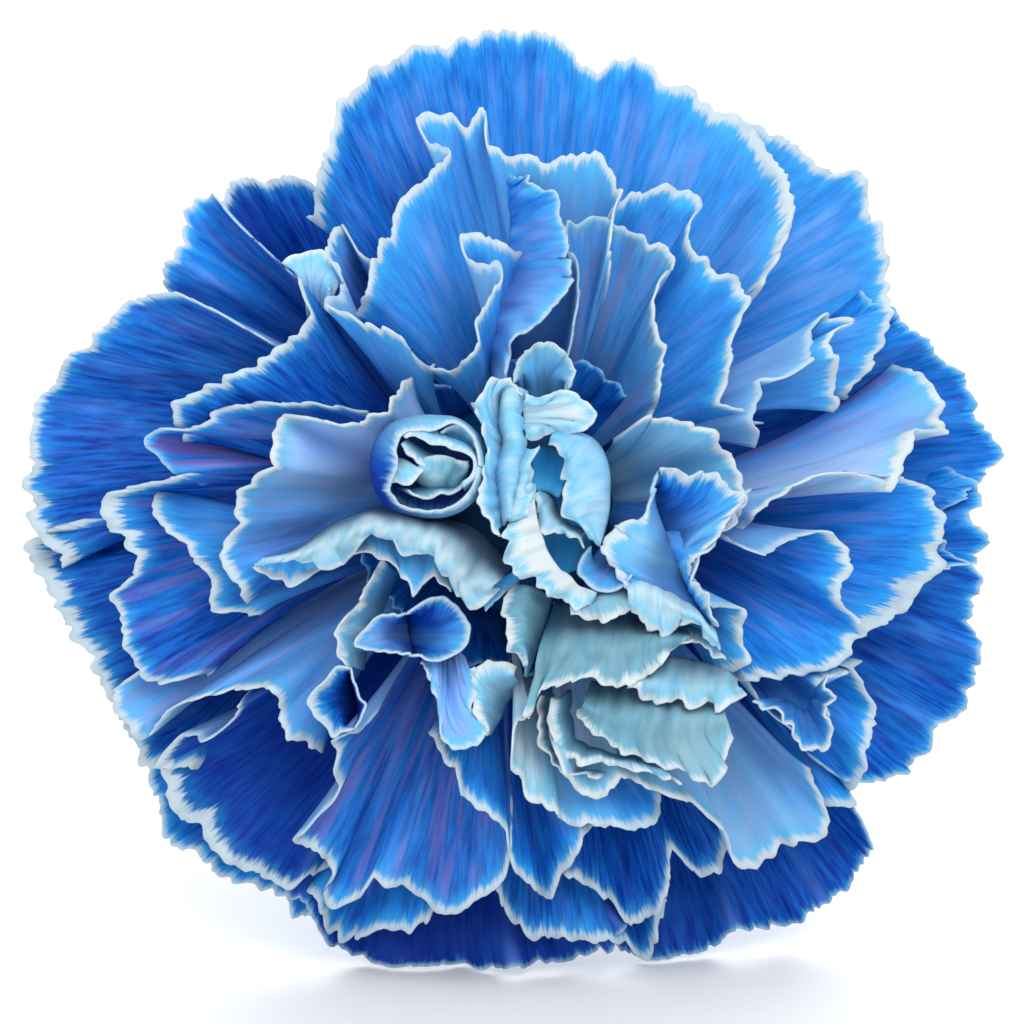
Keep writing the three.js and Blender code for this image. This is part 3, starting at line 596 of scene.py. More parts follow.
def folded_petal(name, lines, seed, ruffle=0.35, teeth=0.3, **dye_and_shade):
    """A petal through lines of (height, points), from the foot to the rim, ruffled most at the rim. A
    point's third number, if it has one, is its height above that of its line."""
    random = np.random.default_rng(seed)
    raised = [[(*point, 0.0)[:3] + np.array([0, 0, height]) for point in points] for height, points in lines]
    count = columns_for(raised[-1])
    runs = [even_line(points, count) for points in raised]
    at = runs[-1][1]
    spread = np.stack([line for line, _ in runs])
    length = np.linalg.norm(np.diff(spread, axis=0), axis=-1).sum(0).mean()
    way = np.linspace(0, 1, ROWS)[:, None] ** FOLD_CROWDING
    shortened = way * (1 - teeth * pinking(at, TOOTH_PITCH, random) / length)
    x, y, height = np.moveaxis(through(spread, shortened), -1, 0)
    height = height + ruffle * ripples(at, FOLD_RIM_WAVES, random) * way**3
    dents = crumple(at * np.ones_like(way), (1 - way) * length, FOLD_DENT_SIZE, random)
    height = height + FOLD_DENTS * ruffle * dents
    sway = ruffle * ripples(at, SWAY_WAVES, random) * way**2
    petal(name, as_seen(x + sway, y + sway, height), seed, **dye_and_shade)


HEART = [
    ("pleat_left", dict(tone=(1.0, 0.8, 0.8, 0.9, 1.0), margin=0.3, reach=5), [
        (19.5, [(-0.9, -1.6), (-1, -0.6), (-1.1, 0.8), (-1.3, 2.2), (-1, 3.8), (-0.9, 5.2), (-1, 6.6),
                (-1.1, 7.8), (-0.9, 8.8), (0, 9.2)]),
        (21, [(-1.2, -2), (-1.8, -0.6), (-1.9, 0.8), (-2, 2.2), (-1.7, 3.8), (-1.6, 5), (-1.8, 6.6),
              (-1.9, 8), (-1.5, 9.3), (-0.8, 9.8), (0.1, 9.7)]),
        (21.5, [(-1, -2.5), (-2, -1.1), (-2.9, 0.1), (-2.7, 1.6), (-2.4, 2.8), (-2.2, 4.2), (-2.1, 5.4),
                (-2.3, 6.6), (-2.7, 7.6), (-3.5, 8.6), (-2.7, 9.3), (-2.2, 10.1), (-1.9, 10.8), (-1.2, 10.5),
                (-0.6, 10.9), (0, 10.7), (0.5, 9.9), (0.9, 9.1)]),
    ]),
    ("pleat_right", dict(tone=(1.0, 1.0, 0.8, 1.0), margin=0.1, reach=6), [
        (19.6, [(-0.9, 9), (-1.1, 7), (-0.8, 5.4), (-1.2, 4.2), (-1.5, 3), (-1.2, 1.5), (-1, 0),
                (-0.7, -1.6)]),
        (21.2, [(-0.6, 9.6), (-0.5, 7.5), (-0.3, 6), (0, 5), (-0.4, 4), (-0.6, 3), (-0.5, 1.8), (-0.4, 0.6),
                (-0.3, -1)]),
        (21.3, [(0.2, 9.8), (0.3, 7.8), (0.4, 6), (0.7, 4.8), (0.4, 3.6), (0.3, 2.6), (0, 1.4), (0, 0.4),
                (0, -1)]),
        (20.2, [(1, 9.2), (1.1, 7.6), (1.1, 6), (1.3, 4.6), (1, 3.4), (0.8, 2.4), (0.5, 1.2), (0.3, 0),
                (0.2, -1)]),
    ]),
    ("pleated_lobe", dict(tone=(1.1, 1.4, 1.5, 1.3, 1.2), margin=0.3, reach=20, ruffle=0.15), [
        (20.4, [(0.8, 8.8), (0.9, 8.2), (1, 7.6), (1, 7), (0.9, 6.4)]),
        (21.4, [(1.1, 8.9), (2, 8.6, 0.3), (3, 8.6, -0.4), (4, 8.8, 0.2), (4.9, 8.4, -0.3), (5.1, 7.8, 0.3),
                (4.8, 7.2, -0.3), (3.9, 7, 0.2), (2.9, 6.9, -0.5), (2, 6.6, 0.3), (1.2, 6.3)]),
        (20.9, [(1.1, 9.4), (2, 9.1), (3, 9.3), (4.1, 9.8), (5, 9.6), (5.7, 9.1), (6.4, 8.5), (7.2, 7.8),
                (6.9, 7.1), (6.3, 6.4), (5.6, 6.2), (4.6, 6.1), (3.6, 6.1), (2.8, 5.9), (2.2, 5.6),
                (1.5, 5.5), (1.2, 5.9)]),
    ]),
    ("lobe_behind", dict(tone=0.6, grey_shade=0.8, margin=0.15, reach=12), [
        (15.5, [(1, 8), (2, 8), (3, 8.2), (4, 8.4)]),
        (19, [(0.5, 10.4), (1.8, 11), (3.2, 11), (4.6, 10.2)]),
        (19.6, [(0.1, 10.2), (0.2, 11.4), (0.7, 12.6), (1.7, 13.5), (3, 13.8), (4.2, 13.2), (5, 12.2),
                (5.2, 11), (4.9, 10), (4.4, 9.4)]),
    ]),
    ("tall_fold", dict(tone=(0.6, 0.4, 0.2, 0.1, 0), navy_and_shade=0.35, mauve=0.3, margin=0.1, reach=14), [
        (14, [(-1.6, 10.4), (-1.8, 13, -0.4), (-2, 15.5, -1), (-0.6, 18, -2), (-0.4, 20.5, -3), (0, 24, -5),
              (-0.4, 25.6, -6), (-0.8, 27.2, -8)]),
        (17.6, [(-0.9, 10.3), (-0.6, 13), (0, 15, -0.4), (1.8, 17.4, -1), (2.6, 19.6, -2), (2.4, 22, -3),
                (2, 24, -4.4), (1.2, 25.4, -5.4), (0.4, 26.4, -6.4), (-0.4, 27.4, -9)]),
        (19, [(-0.6, 10), (-0.3, 12), (0.1, 14), (1.8, 14.9), (3.3, 16.4, -0.6), (4.7, 18.1, -1.4),
              (5, 19.8, -2), (4.6, 21.8, -3), (4.3, 23.8, -4), (3.9, 25.4, -4.8), (2.8, 26.6, -5.6),
              (1.4, 27.2, -6.4), (0, 27.7, -9.4)]),
    ]),
    ("heart_ridge", dict(tone=(1.0, 1.5, 1.2), margin=0.2, reach=5), [
        (19.8, [(0.9, 5), (0.4, 3.8), (0.2, 2.6), (-0.1, 1.4), (-0.3, 0.2), (-0.6, -1.2)]),
        (21.4, [(1.6, 4.8), (1.2, 3.7), (1, 2.6), (0.7, 1.2), (0.4, 0), (0, -1.2)]),
        (21.2, [(2.4, 5.1), (1.8, 4), (1.7, 3), (1.7, 1.8), (1.6, 0.6), (1.3, -0.8)]),
    ]),
    ("white_tongue", dict(tone=(1.4, 1.9, 2.0, 2.0, 1.7), margin=0.2, reach=30, ruffle=0.4), [
        (20.2, [(1.9, 1.8, 0.6), (1.9, 0, 0.7), (2.2, -1.5, 0.7), (2.6, -2.7, 0.6), (3, -3.8, 0.5),
                (3.8, -5, 0.2), (4.8, -5.8, -0.2), (5.6, -6.6, -0.7), (7, -7.2, -1.2)]),
        (21.3, [(1.6, 2), (1.2, 0.4), (0.9, -1.4), (0.7, -2.8), (1, -4), (1.8, -5.1), (3, -6, -0.3),
                (4.4, -7, -1), (6.8, -7.7, -2)]),
        (20.9, [(1.3, 1.9), (0.6, 0.3), (0.2, -0.9), (-0.8, -2.3), (-0.6, -3.4), (-0.5, -4.2), (0, -5.1),
                (0.2, -5.8), (1.2, -5.9), (1.9, -6.5), (2.9, -6.9), (3.4, -7.6, -0.6), (4.4, -8.1, -0.9),
                (5.4, -8.5, -1.3), (6.6, -8.1, -1.8)]),
    ]),
    ("shell_petal", dict(tone=(0.85, 0.9, 1.1), mauve=0.15, margin=0.35, reach=16), [
        (14, [(4, 6.3), (6.2, 5.9), (7.4, 4.9), (8, 3.2), (8.1, 1.5), (8, -0.5), (7.6, -2.2), (7.2, -3.3)]),
        (19.8, [(3.8, 6.3), (6, 5.8), (7.1, 4.8), (7.8, 3.2), (7.9, 1.5), (7.8, -0.5), (7.5, -2),
                (7.2, -3.2)]),
        (21.5, [(3.4, 6), (5, 5.5), (6.2, 4.4), (6.7, 3), (6.6, 1.2), (6.4, -0.4), (6.6, -1.8), (7, -2.8)]),
        (21.8, [(3.2, 5.7), (4.1, 5.1), (5, 4), (5.3, 2.8), (5.2, 1), (5.1, -0.4), (5.8, -1.5), (6.9, -2.6)]),
        (21.2, [(3.1, 5.2), (3.8, 4.5), (4.3, 3.5), (4.4, 2.4), (4.1, 0.8), (4.4, -0.5), (5.2, -1.4),
                (6.7, -2.5)]),
    ]),
    # Painted shade: the inside of the shell is darkened by its navy share.
    ("shell_inside", dict(tone=(0, 0.1, 0.4), navy_and_shade=(2.1, 1.6, 0.7), margin=-0.5, reach=6), [
        (19.9, [(4.5, 4.4), (4.6, 3), (4.4, 1.8), (3.9, 0.8)]),
        (18.9, [(3.2, 4.9), (3.3, 3.2), (3.1, 2), (2.9, 1.2)]),
        (20.2, [(1.8, 4.7), (1.6, 3), (1.5, 2), (1.6, 1.2)]),
    ]),
    ("heart_fold", dict(tone=1.2, grey_shade=0.3, margin=0.3, reach=3), [
        (18.6, [(2.4, 1.5), (3.3, 0.7), (3.9, -0.5), (4.7, -1.5), (6.2, -2)]),
        (20.5, [(2.1, 1.2), (2.6, 0.2), (3.1, -0.8), (4, -1.7), (5.9, -2.4)]),
        (20.4, [(1.9, 1), (2, -0.2), (2.2, -1.2), (2.7, -2.2), (3.6, -2.4), (4.8, -2.3), (5.6, -2.7),
                (6.2, -3.3)]),
    ]),
    # Painted shade: a sheet in the gap under the heart fold, dark by its navy share.
    ("fold_floor", dict(tone=(0.1, 0, 0.3), navy_and_shade=1.6, margin=-0.5, reach=4), [
        (17.6, [(1.9, 1.6), (4, 1.2), (6.4, -1.2)]),
        (16.6, [(1.8, -1.2), (3.8, -1.8), (6.6, -2.6)]),
        (17, [(2.2, -5.6), (4, -5.8), (6.2, -5)]),
    ]),
    ("small_cup", dict(tone=0.3, navy_and_shade=0.3, mauve=0.3, margin=0.15, reach=4, ruffle=0.1, teeth=0.06), [
        (16.4, [(7.2, -3.6), (7.9, -4), (8.8, -4.4), (9.6, -4.9)]),
        (17.6, [(6.6, -4.2), (7, -5), (8, -5.5), (9.5, -5.6)]),
        (19.4, [(6.6, -3.2), (5.7, -4.4), (5.5, -5.4), (6, -6.2), (6.9, -6.9), (8.2, -7.1), (9.3, -6.6),
                (10, -5.7)]),
    ]),
    ("leaning_blade", dict(tone=(0.3, 0.5, 0.8, 0.5, 0.2), navy_and_shade=0.3, margin=(0.3, 0.4, 0.9, 0.6), reach=5), [
        (16.2, [(11.6, 1.8), (11.9, 0.2), (12.5, -1.6), (13.4, -3.8), (14.6, -6), (15.8, -8), (17, -10.4)]),
        (18.9, [(11.9, 2.4), (11.5, 0.4), (11.3, -1.8), (11.2, -3.2), (11.3, -4.8), (12, -6.6), (13, -8.6)]),
        (19.2, [(12.2, 3.1), (12, 2), (11.7, 0.9), (11.3, -0.2), (10.5, -1.1), (9.6, -1.1), (8.8, -1.3),
                (8, -2.2), (7.4, -3), (7.9, -4.4), (8.6, -5.6), (9.4, -6.6)]),
    ]),
    ("leaning_wall", dict(tone=(0, 0, 0.3, 0.5, 0.1, 0), navy_and_shade=(0.9, 0.7, 0.2, 0, 0.1, 0.4), reach=7), [
        (14.5, [(11.8, 1.6), (12, 0.6), (12.2, -0.6), (12.6, -1.8), (13.1, -3), (13.7, -4.4), (14.3, -5.6),
                (15, -7), (15.8, -8.4), (16.6, -9.8)]),
        (17.8, [(12.4, 2.2), (13.3, 1.4), (14.3, 1), (15.2, 0.6), (16, 0), (16, -1), (15, -2.5), (14.3, -4),
                (14.4, -5.6), (15.3, -7.6), (16.6, -9.8)]),
        (19.4, [(12.2, 3.1), (13.6, 3.1), (15, 2.8), (16.4, 2.9), (17.3, 2.6), (17.9, 1.9), (18.5, 1.3),
                (19.7, 1.1), (18.3, -0.7), (17.3, -2.4), (15.8, -3.7), (15.3, -5.1), (15.6, -6.6), (16.4, -8),
                (17.2, -10)]),
    ]),
    ("grey_lip", dict(tone=1.2, grey_shade=0.6, teeth=0.15), [
        (18, [(4.8, -8), (6.3, -7.6), (7.5, -7), (8.8, -6.8), (10, -7.4)]),
        (19.2, [(4.9, -8.4), (6.2, -8.3), (7.5, -8), (8.7, -7.8), (9.8, -8)]),
        (18.8, [(5.1, -8.8), (6, -9.4), (7.2, -9.6), (8.3, -9.4), (9.3, -9), (10.1, -8.4)]),
    ]),
    ("pale_frill", dict(tone=1.25, margin=0.6, reach=8, teeth=0.15), [
        (15, [(9.2, -6.2), (11.5, -5.4), (13.5, -6.2), (15, -8), (16.8, -10.2)]),
        (19.7, [(9.6, -6.8), (10.8, -6.5), (12.4, -7.3), (13.8, -8.2), (15.6, -9.2), (17, -10.9)]),
        (19.5, [(9.8, -7.8), (11, -8.3), (12, -8.9), (13, -8.8), (14.4, -9.1), (15.8, -9.9), (17.1, -11.5)]),
        (18.6, [(10.1, -8.3), (10.6, -9.2), (11.2, -10), (12, -10.5), (12.8, -10.9), (13.5, -10.3),
                (14.2, -9.7), (15.2, -9.8), (16.2, -10.6), (17.2, -12.1)]),
    ]),
    ("teal_pocket", dict(tone=0.6, navy_and_shade=0.3, grey_shade=0.5), [
        (15.5, [(13.6, -10.4), (14.8, -10), (16, -10.8), (17, -12)]),
        (17.8, [(13.3, -11.4), (14.2, -11.1), (15.2, -11.2), (16, -11.9), (17, -12.4), (17.9, -12.7)]),
    ]),
    ("grey_tongue", dict(tone=1.05, grey_shade=(0.9, 0.7), reach=7), [
        (15.5, [(3.3, -7.6), (2.8, -9.5), (2.2, -11.2), (1.6, -13), (1.1, -14.2)]),
        (18.9, [(1.6, -6.7), (1.1, -8.5), (1, -10), (1, -11.5), (1.2, -13.2)]),
        (18.5, [(-0.1, -6.8), (-0.7, -8), (-0.8, -9.5), (-0.5, -10.8), (0.1, -12), (0.9, -13.4)]),
    ]),
    ("layer_top", dict(tone=(1.0, 1.2, 1.2, 1.0), grey_shade=(0.7, 0.75, 0.75, 0.95), reach=11), [
        (12.5, [(3.6, -8), (5, -8), (8, -8.2), (11, -8.8), (13.5, -9.4), (15, -10.2)]),
        (18.4, [(2.2, -12), (3.8, -11.3), (6, -11), (8.6, -11.2), (11, -11), (13, -10.8), (14.8, -10.8)]),
        (18.5, [(1.8, -14.6), (3.2, -13.4), (5.6, -12.8), (8.6, -13.2), (11, -12.6), (12.8, -11.8),
                (14.6, -11)]),
        (17.9, [(0.9, -17.4), (1.3, -17.6), (1.6, -17.1), (1.9, -16.2), (2.5, -15.2), (4.4, -14.8),
                (6.4, -14.2), (7.8, -14.9), (9.8, -14.9), (11.4, -14), (12.6, -13.1), (13.2, -12),
                (14.3, -11.3), (15.3, -11.1)]),
    ]),
    ("layer_side", dict(tone=1.1, grey_shade=0.3, margin=0.5, reach=7, teeth=0.12), [
        (14.5, [(10.5, -13.2), (12.8, -12.6), (15, -12.8), (17.5, -13.6), (18.8, -14.4)]),
        (17.2, [(10.2, -14.3), (12.6, -14.6), (15, -14.8), (17.4, -15), (18.8, -15)]),
        (16.8, [(9.8, -14.9), (10.8, -15.8), (12.4, -16.5), (14.2, -16), (15.2, -16.9), (16.4, -16.3),
                (17.5, -16.9), (18.5, -16.2), (19.3, -15.9)]),
    ]),
    ("layer_second", dict(tone=(1.2, 1.1, 1.3, 1.2), grey_shade=(0.9, 0.75, 0.6, 0.6), margin=0.4, reach=16,
                          teeth=0.15), [
        (13.5, [(6.6, -14.6), (9, -14.8), (12, -15.2), (15, -15.6), (17.6, -16.2)]),
        (16.7, [(6, -16.3), (8.2, -17), (11.5, -17.4), (15, -17.6), (17.8, -17.4)]),
        (16.3, [(5.8, -16.8), (7.6, -18.3), (11, -19.3), (14.6, -19.8), (18.1, -18.6)]),
        (15.9, [(5.4, -17), (5.7, -17.8), (6.3, -18.4), (7.4, -19.2), (8.3, -19.8), (9.2, -20.5),
                (10.2, -20.8), (11.5, -21.3), (13.5, -21.9), (15.4, -22.6), (16.6, -23.3), (17.4, -22.7),
                (17.8, -21.3), (18.3, -19.4)]),
    ]),
    ("layer_third", dict(tone=0.9, grey_shade=0.75, margin=0.5, reach=5), [
        (11.5, [(4.8, -15.2), (5, -17), (5.4, -18.6), (6.8, -19.8), (9, -20.4), (12.5, -21)]),
        (15.3, [(3.9, -16), (3.9, -17.8), (4.3, -19.4), (5.2, -20.6), (7.5, -20.9), (10, -21.3), (13, -22)]),
        (15.6, [(3.2, -15.9), (3, -17.6), (3.4, -19.6), (4.3, -21), (6.5, -21.4), (9, -21.6), (11.5, -22.3),
                (14.4, -23)]),
    ]),
    ("layer_fourth", dict(tone=1.1, grey_shade=(0.8, 0.4, 0.5), reach=7), [
        (11.5, [(3.4, -15.6), (3.6, -17.4), (3.8, -19), (4.6, -20.6), (6.4, -21.6), (8.6, -21.8)]),
        (15.2, [(2.4, -15.8), (2.1, -17.6), (2.3, -19.4), (3.2, -21.2), (4.8, -22.2), (7.2, -22.6)]),
    ]),
    ("rolled_band", dict(tone=1.3, grey_shade=(0.1, 0.2, 0.1, 0.3), margin=0.35, reach=6.5), [
        (11.5, [(-20.6, -4.3), (-18, -3.6), (-15, -1.6), (-12, -0.4), (-9, -0.2), (-6.5, -0.7), (-4.3, -1.2),
                (-2.4, -1.9), (-1.2, -3.2), (-0.1, -5)]),
        (17.8, [(-20.7, -4.4), (-18, -3.8), (-15, -2), (-12.2, -0.8), (-9.2, -0.7), (-6.8, -1.3),
                (-4.8, -2.2), (-3.2, -3.6), (-2, -4.8), (-0.6, -5.8)]),
        (20.4, [(-20.9, -4.5), (-18, -4), (-15.2, -2.8), (-12.3, -1.5), (-9.6, -1.5), (-7.2, -2.2),
                (-5.5, -3.4), (-4.3, -4.9), (-3.1, -6), (-1.2, -6.2)]),
        (20.2, [(-21.3, -4.8), (-18, -4.3), (-15.2, -3.8), (-12.5, -2.3), (-10.4, -2.3), (-8, -3.2),
                (-6.2, -4.1), (-5.1, -5.7), (-3.6, -7), (-1.7, -6.8)]),
        (19.2, [(-21.6, -5), (-20, -4.5), (-17.8, -4.3), (-16.5, -4.8), (-15, -5.2), (-14, -4.8), (-13.2, -4),
                (-12.7, -3.2), (-12, -2.4), (-10.9, -2), (-10.2, -2.6), (-9.9, -3.3), (-9.3, -3.9),
                (-8.3, -4), (-7.2, -3.8), (-6.2, -4.4), (-5.3, -5.4), (-4.9, -6.6), (-4.4, -7.4), (-3.6, -8),
                (-2.6, -8.4), (-1.9, -7.8), (-1, -6.8)]),
    ]),
    ("band_tip", dict(tone=0.15, margin=0.6, ruffle=0.2, teeth=0.08), [
        (17.6, [(-21, -4.7), (-19.6, -4.1), (-17.6, -3.9), (-16.2, -4.5)]),
        (17.2, [(-20.9, -5.1), (-19.5, -5.3), (-17.8, -5.3), (-16.2, -5)]),
        (17.6, [(-21.7, -5.1), (-20.6, -5.7), (-19.5, -6.1), (-18.2, -6.6), (-17.2, -6.1), (-16.3, -5.4),
                (-15.4, -5)]),
    ]),
    ("band_fold", dict(tone=0.35, margin=0.4, ruffle=0.2, teeth=0.08), [
        (16.4, [(-13, -2.8), (-11.5, -1.4), (-10.2, -1.8), (-9.4, -3.2), (-8, -3.4), (-6.4, -3.4),
                (-5, -4.6)]),
        (17.2, [(-12.8, -3.4), (-11.5, -2.8), (-10.2, -3.4), (-9, -4.6), (-7.9, -5), (-6.4, -4.8),
                (-5.2, -5.8)]),
        (17.8, [(-13.2, -4), (-12, -3.8), (-11, -4.3), (-10, -4.7), (-9.3, -5.8), (-8.6, -6.2), (-8.2, -7.5),
                (-7.5, -6.6), (-6.6, -5.9), (-5.6, -6.6), (-5, -7)]),
    ]),
    ("band_under", dict(tone=0.3, margin=0, reach=20), [
        (17.8, [(0.8, -5.2), (-0.8, -6), (-2.6, -7.4)]),
        (18.2, [(0.6, -6.4), (-0.6, -7.2), (-2.2, -8.8)]),
    ]),
    ("star_cup_left", dict(tone=(0, 0.1, 0.6, 0.2, 0), navy_and_shade=0.8, mauve=0.3, margin=0.2, reach=3.4,
                           ruffle=0.15, teeth=0.08), [
        (12.5, [(-8.9, -9), (-8.7, -10), (-8.5, -11.2), (-8.3, -12.2)]),
        (16, [(-9.2, -9.1), (-10.4, -9.8), (-10.6, -10.9), (-8.6, -12.3)]),
        (17.6, [(-8.9, -8.9), (-10.2, -9), (-11.3, -9.2), (-12.2, -10.1), (-13.2, -11.3), (-12.2, -11.9),
                (-10.3, -12.1), (-8.5, -12.3)]),
    ]),
    ("spine_blade", dict(tone=(0.3, 0.7, 0.9, 0.9), margin=0.6, reach=6), [
        (10, [(-9.4, -5.4), (-10.2, -7), (-11, -9), (-11.8, -10.8), (-12.2, -12), (-12.4, -13.6)]),
        (14.5, [(-10.2, -5), (-11.2, -6.8), (-12.2, -8.6), (-13.2, -10.2), (-13.5, -11.8), (-13.3, -13.4)]),
        (16.4, [(-10.9, -4.4), (-12, -6.4), (-12.8, -8), (-13.9, -9.2), (-14.7, -10.4), (-14.7, -11.6),
                (-14.2, -12.6), (-13.9, -13.6)]),
    ]),
    ("dark_funnel", dict(navy_and_shade=(0.8, 0.9, 0.6, 0.9), margin=(0.3, 0.7, 0.7, 0.4), reach=4, ruffle=0.15,
                         teeth=0.08), [
        (10.5, [(-13.5, -14), (-13.2, -15.4), (-13, -16.8), (-13.4, -18.2)]),
        (14.4, [(-13.8, -13.7), (-14.6, -15), (-14.8, -16.6), (-14, -18.4)]),
        (16.6, [(-13.5, -13.4), (-14.6, -13.3), (-15.6, -14.5), (-16.6, -15.4), (-17, -16.4), (-15.9, -18),
                (-14.9, -19.2), (-14.2, -18.7), (-13.2, -18.5)]),
    ]),
    ("mauve_lobe", dict(tone=0.55, mauve=0.8, margin=0.25, reach=7, ruffle=0.2, teeth=0.08), [
        (14.6, [(-6.6, -11.4), (-6, -12), (-5.4, -12.4), (-4.8, -12.4), (-4.2, -12)]),
        (16.6, [(-7.2, -12.6, -1.4), (-6.4, -13.8), (-6, -15.2), (-5.5, -16.6), (-4.9, -17.4), (-4.3, -16.8),
                (-4, -15.2), (-3.6, -13.4)]),
        (16.9, [(-7.6, -13, -1), (-7.1, -13.9), (-6.6, -15), (-6.2, -16.4), (-5.9, -18), (-5.8, -19.3),
                (-5, -20.2), (-4.2, -20.3), (-3.3, -20), (-2.6, -19.7), (-2.1, -18.7), (-2.8, -17.9),
                (-3.3, -17), (-3, -15.6), (-2.8, -14.4), (-3, -13.2)]),
    ]),
    ("cyan_lobe", dict(tone=0.95, grey_shade=0.2, margin=0.6, reach=7), [
        (13, [(0.7, -14.6), (-0.2, -16), (-1, -17.6), (-1.9, -19)]),
        (16.7, [(0.2, -14), (-1.2, -14.2), (-2.4, -15.2), (-2.3, -16.8), (-2, -18.8)]),
        (16.9, [(0.4, -13.3), (-0.5, -12.8), (-1.3, -13), (-2.2, -12.9), (-3, -13.3), (-3.5, -14.2),
                (-3.5, -15.3), (-3.2, -16.4), (-3.1, -17.3), (-2.5, -18.2), (-2, -19)]),
    ]),
    ("right_funnel", dict(tone=0.2, navy_and_shade=0.3), [
        (9, [(22.5, -16), (23.5, -16.6), (24.5, -17), (25, -16), (25.2, -15)]),
        (15.5, [(20.2, -16), (22, -17.3), (23.5, -18.3), (23.5, -19.5), (24.5, -20.3), (26, -20.2),
                (26.7, -19.7), (26.3, -18), (26.2, -16.5), (27, -16), (26, -15), (26.3, -14.2), (28, -13.7)]),
    ]),
    ("star_cup_right", dict(tone=(0, 0, 0.05, 0.3, 0.1, 0), navy_and_shade=(1.8, 1.4, 1.0, 0.5, 1.0, 1.6), margin=0.25,
                            reach=3.6, ruffle=0.15, teeth=0.08), [
        (12.5, [(-8.8, -9), (-8.6, -10), (-8.4, -11.2), (-8.2, -12.2)]),
        (15.8, [(-8.2, -8.8), (-6.8, -9), (-6.1, -10), (-6.1, -11), (-6.8, -12), (-8, -12.4)]),
        (17.6, [(-8.8, -8.9), (-8, -8.3), (-7.2, -7.8), (-5.8, -7.5), (-4.8, -8), (-3.8, -9.2), (-3.5, -10.8),
                (-4.1, -11.9), (-5.9, -12.8), (-7.2, -12.7), (-8.5, -12.3)]),
    ]),
    ("pale_knob", dict(tone=1.0, mauve=0.3, margin=0.3, reach=8, ruffle=0.15, teeth=0.08), [
        (11.5, [(-17, 15.8), (-16.5, 16), (-16, 16), (-15.4, 16)]),
        (14, [(-17.6, 19), (-16.9, 19.2), (-16, 19), (-15.2, 18)]),
        (13.8, [(-19.2, 20.3), (-18.6, 20.9), (-17.4, 21.2), (-16, 21.4), (-14.9, 20.7), (-14.3, 19.4),
                (-14.7, 17.9), (-15.4, 16.9)]),
    ]),
    ("funnel_wall", dict(navy_and_shade=1.3, margin=0.3, reach=4, ruffle=0.15, teeth=0.08), [
        (10.5, [(-13.4, -14), (-13.1, -15.4), (-12.9, -16.8), (-13.2, -18.1)]),
        (16.4, [(-13.5, -13.4), (-13.1, -14.7), (-12.7, -15.7), (-12.3, -16.4), (-12.5, -17.5),
                (-13.1, -18.5)]),
    ]),
]
FIRST_HEART_SEED = 70
for number, (name, dye_and_shade, lines) in enumerate(HEART):
    folded_petal(name, lines, FIRST_HEART_SEED + number, **dye_and_shade)

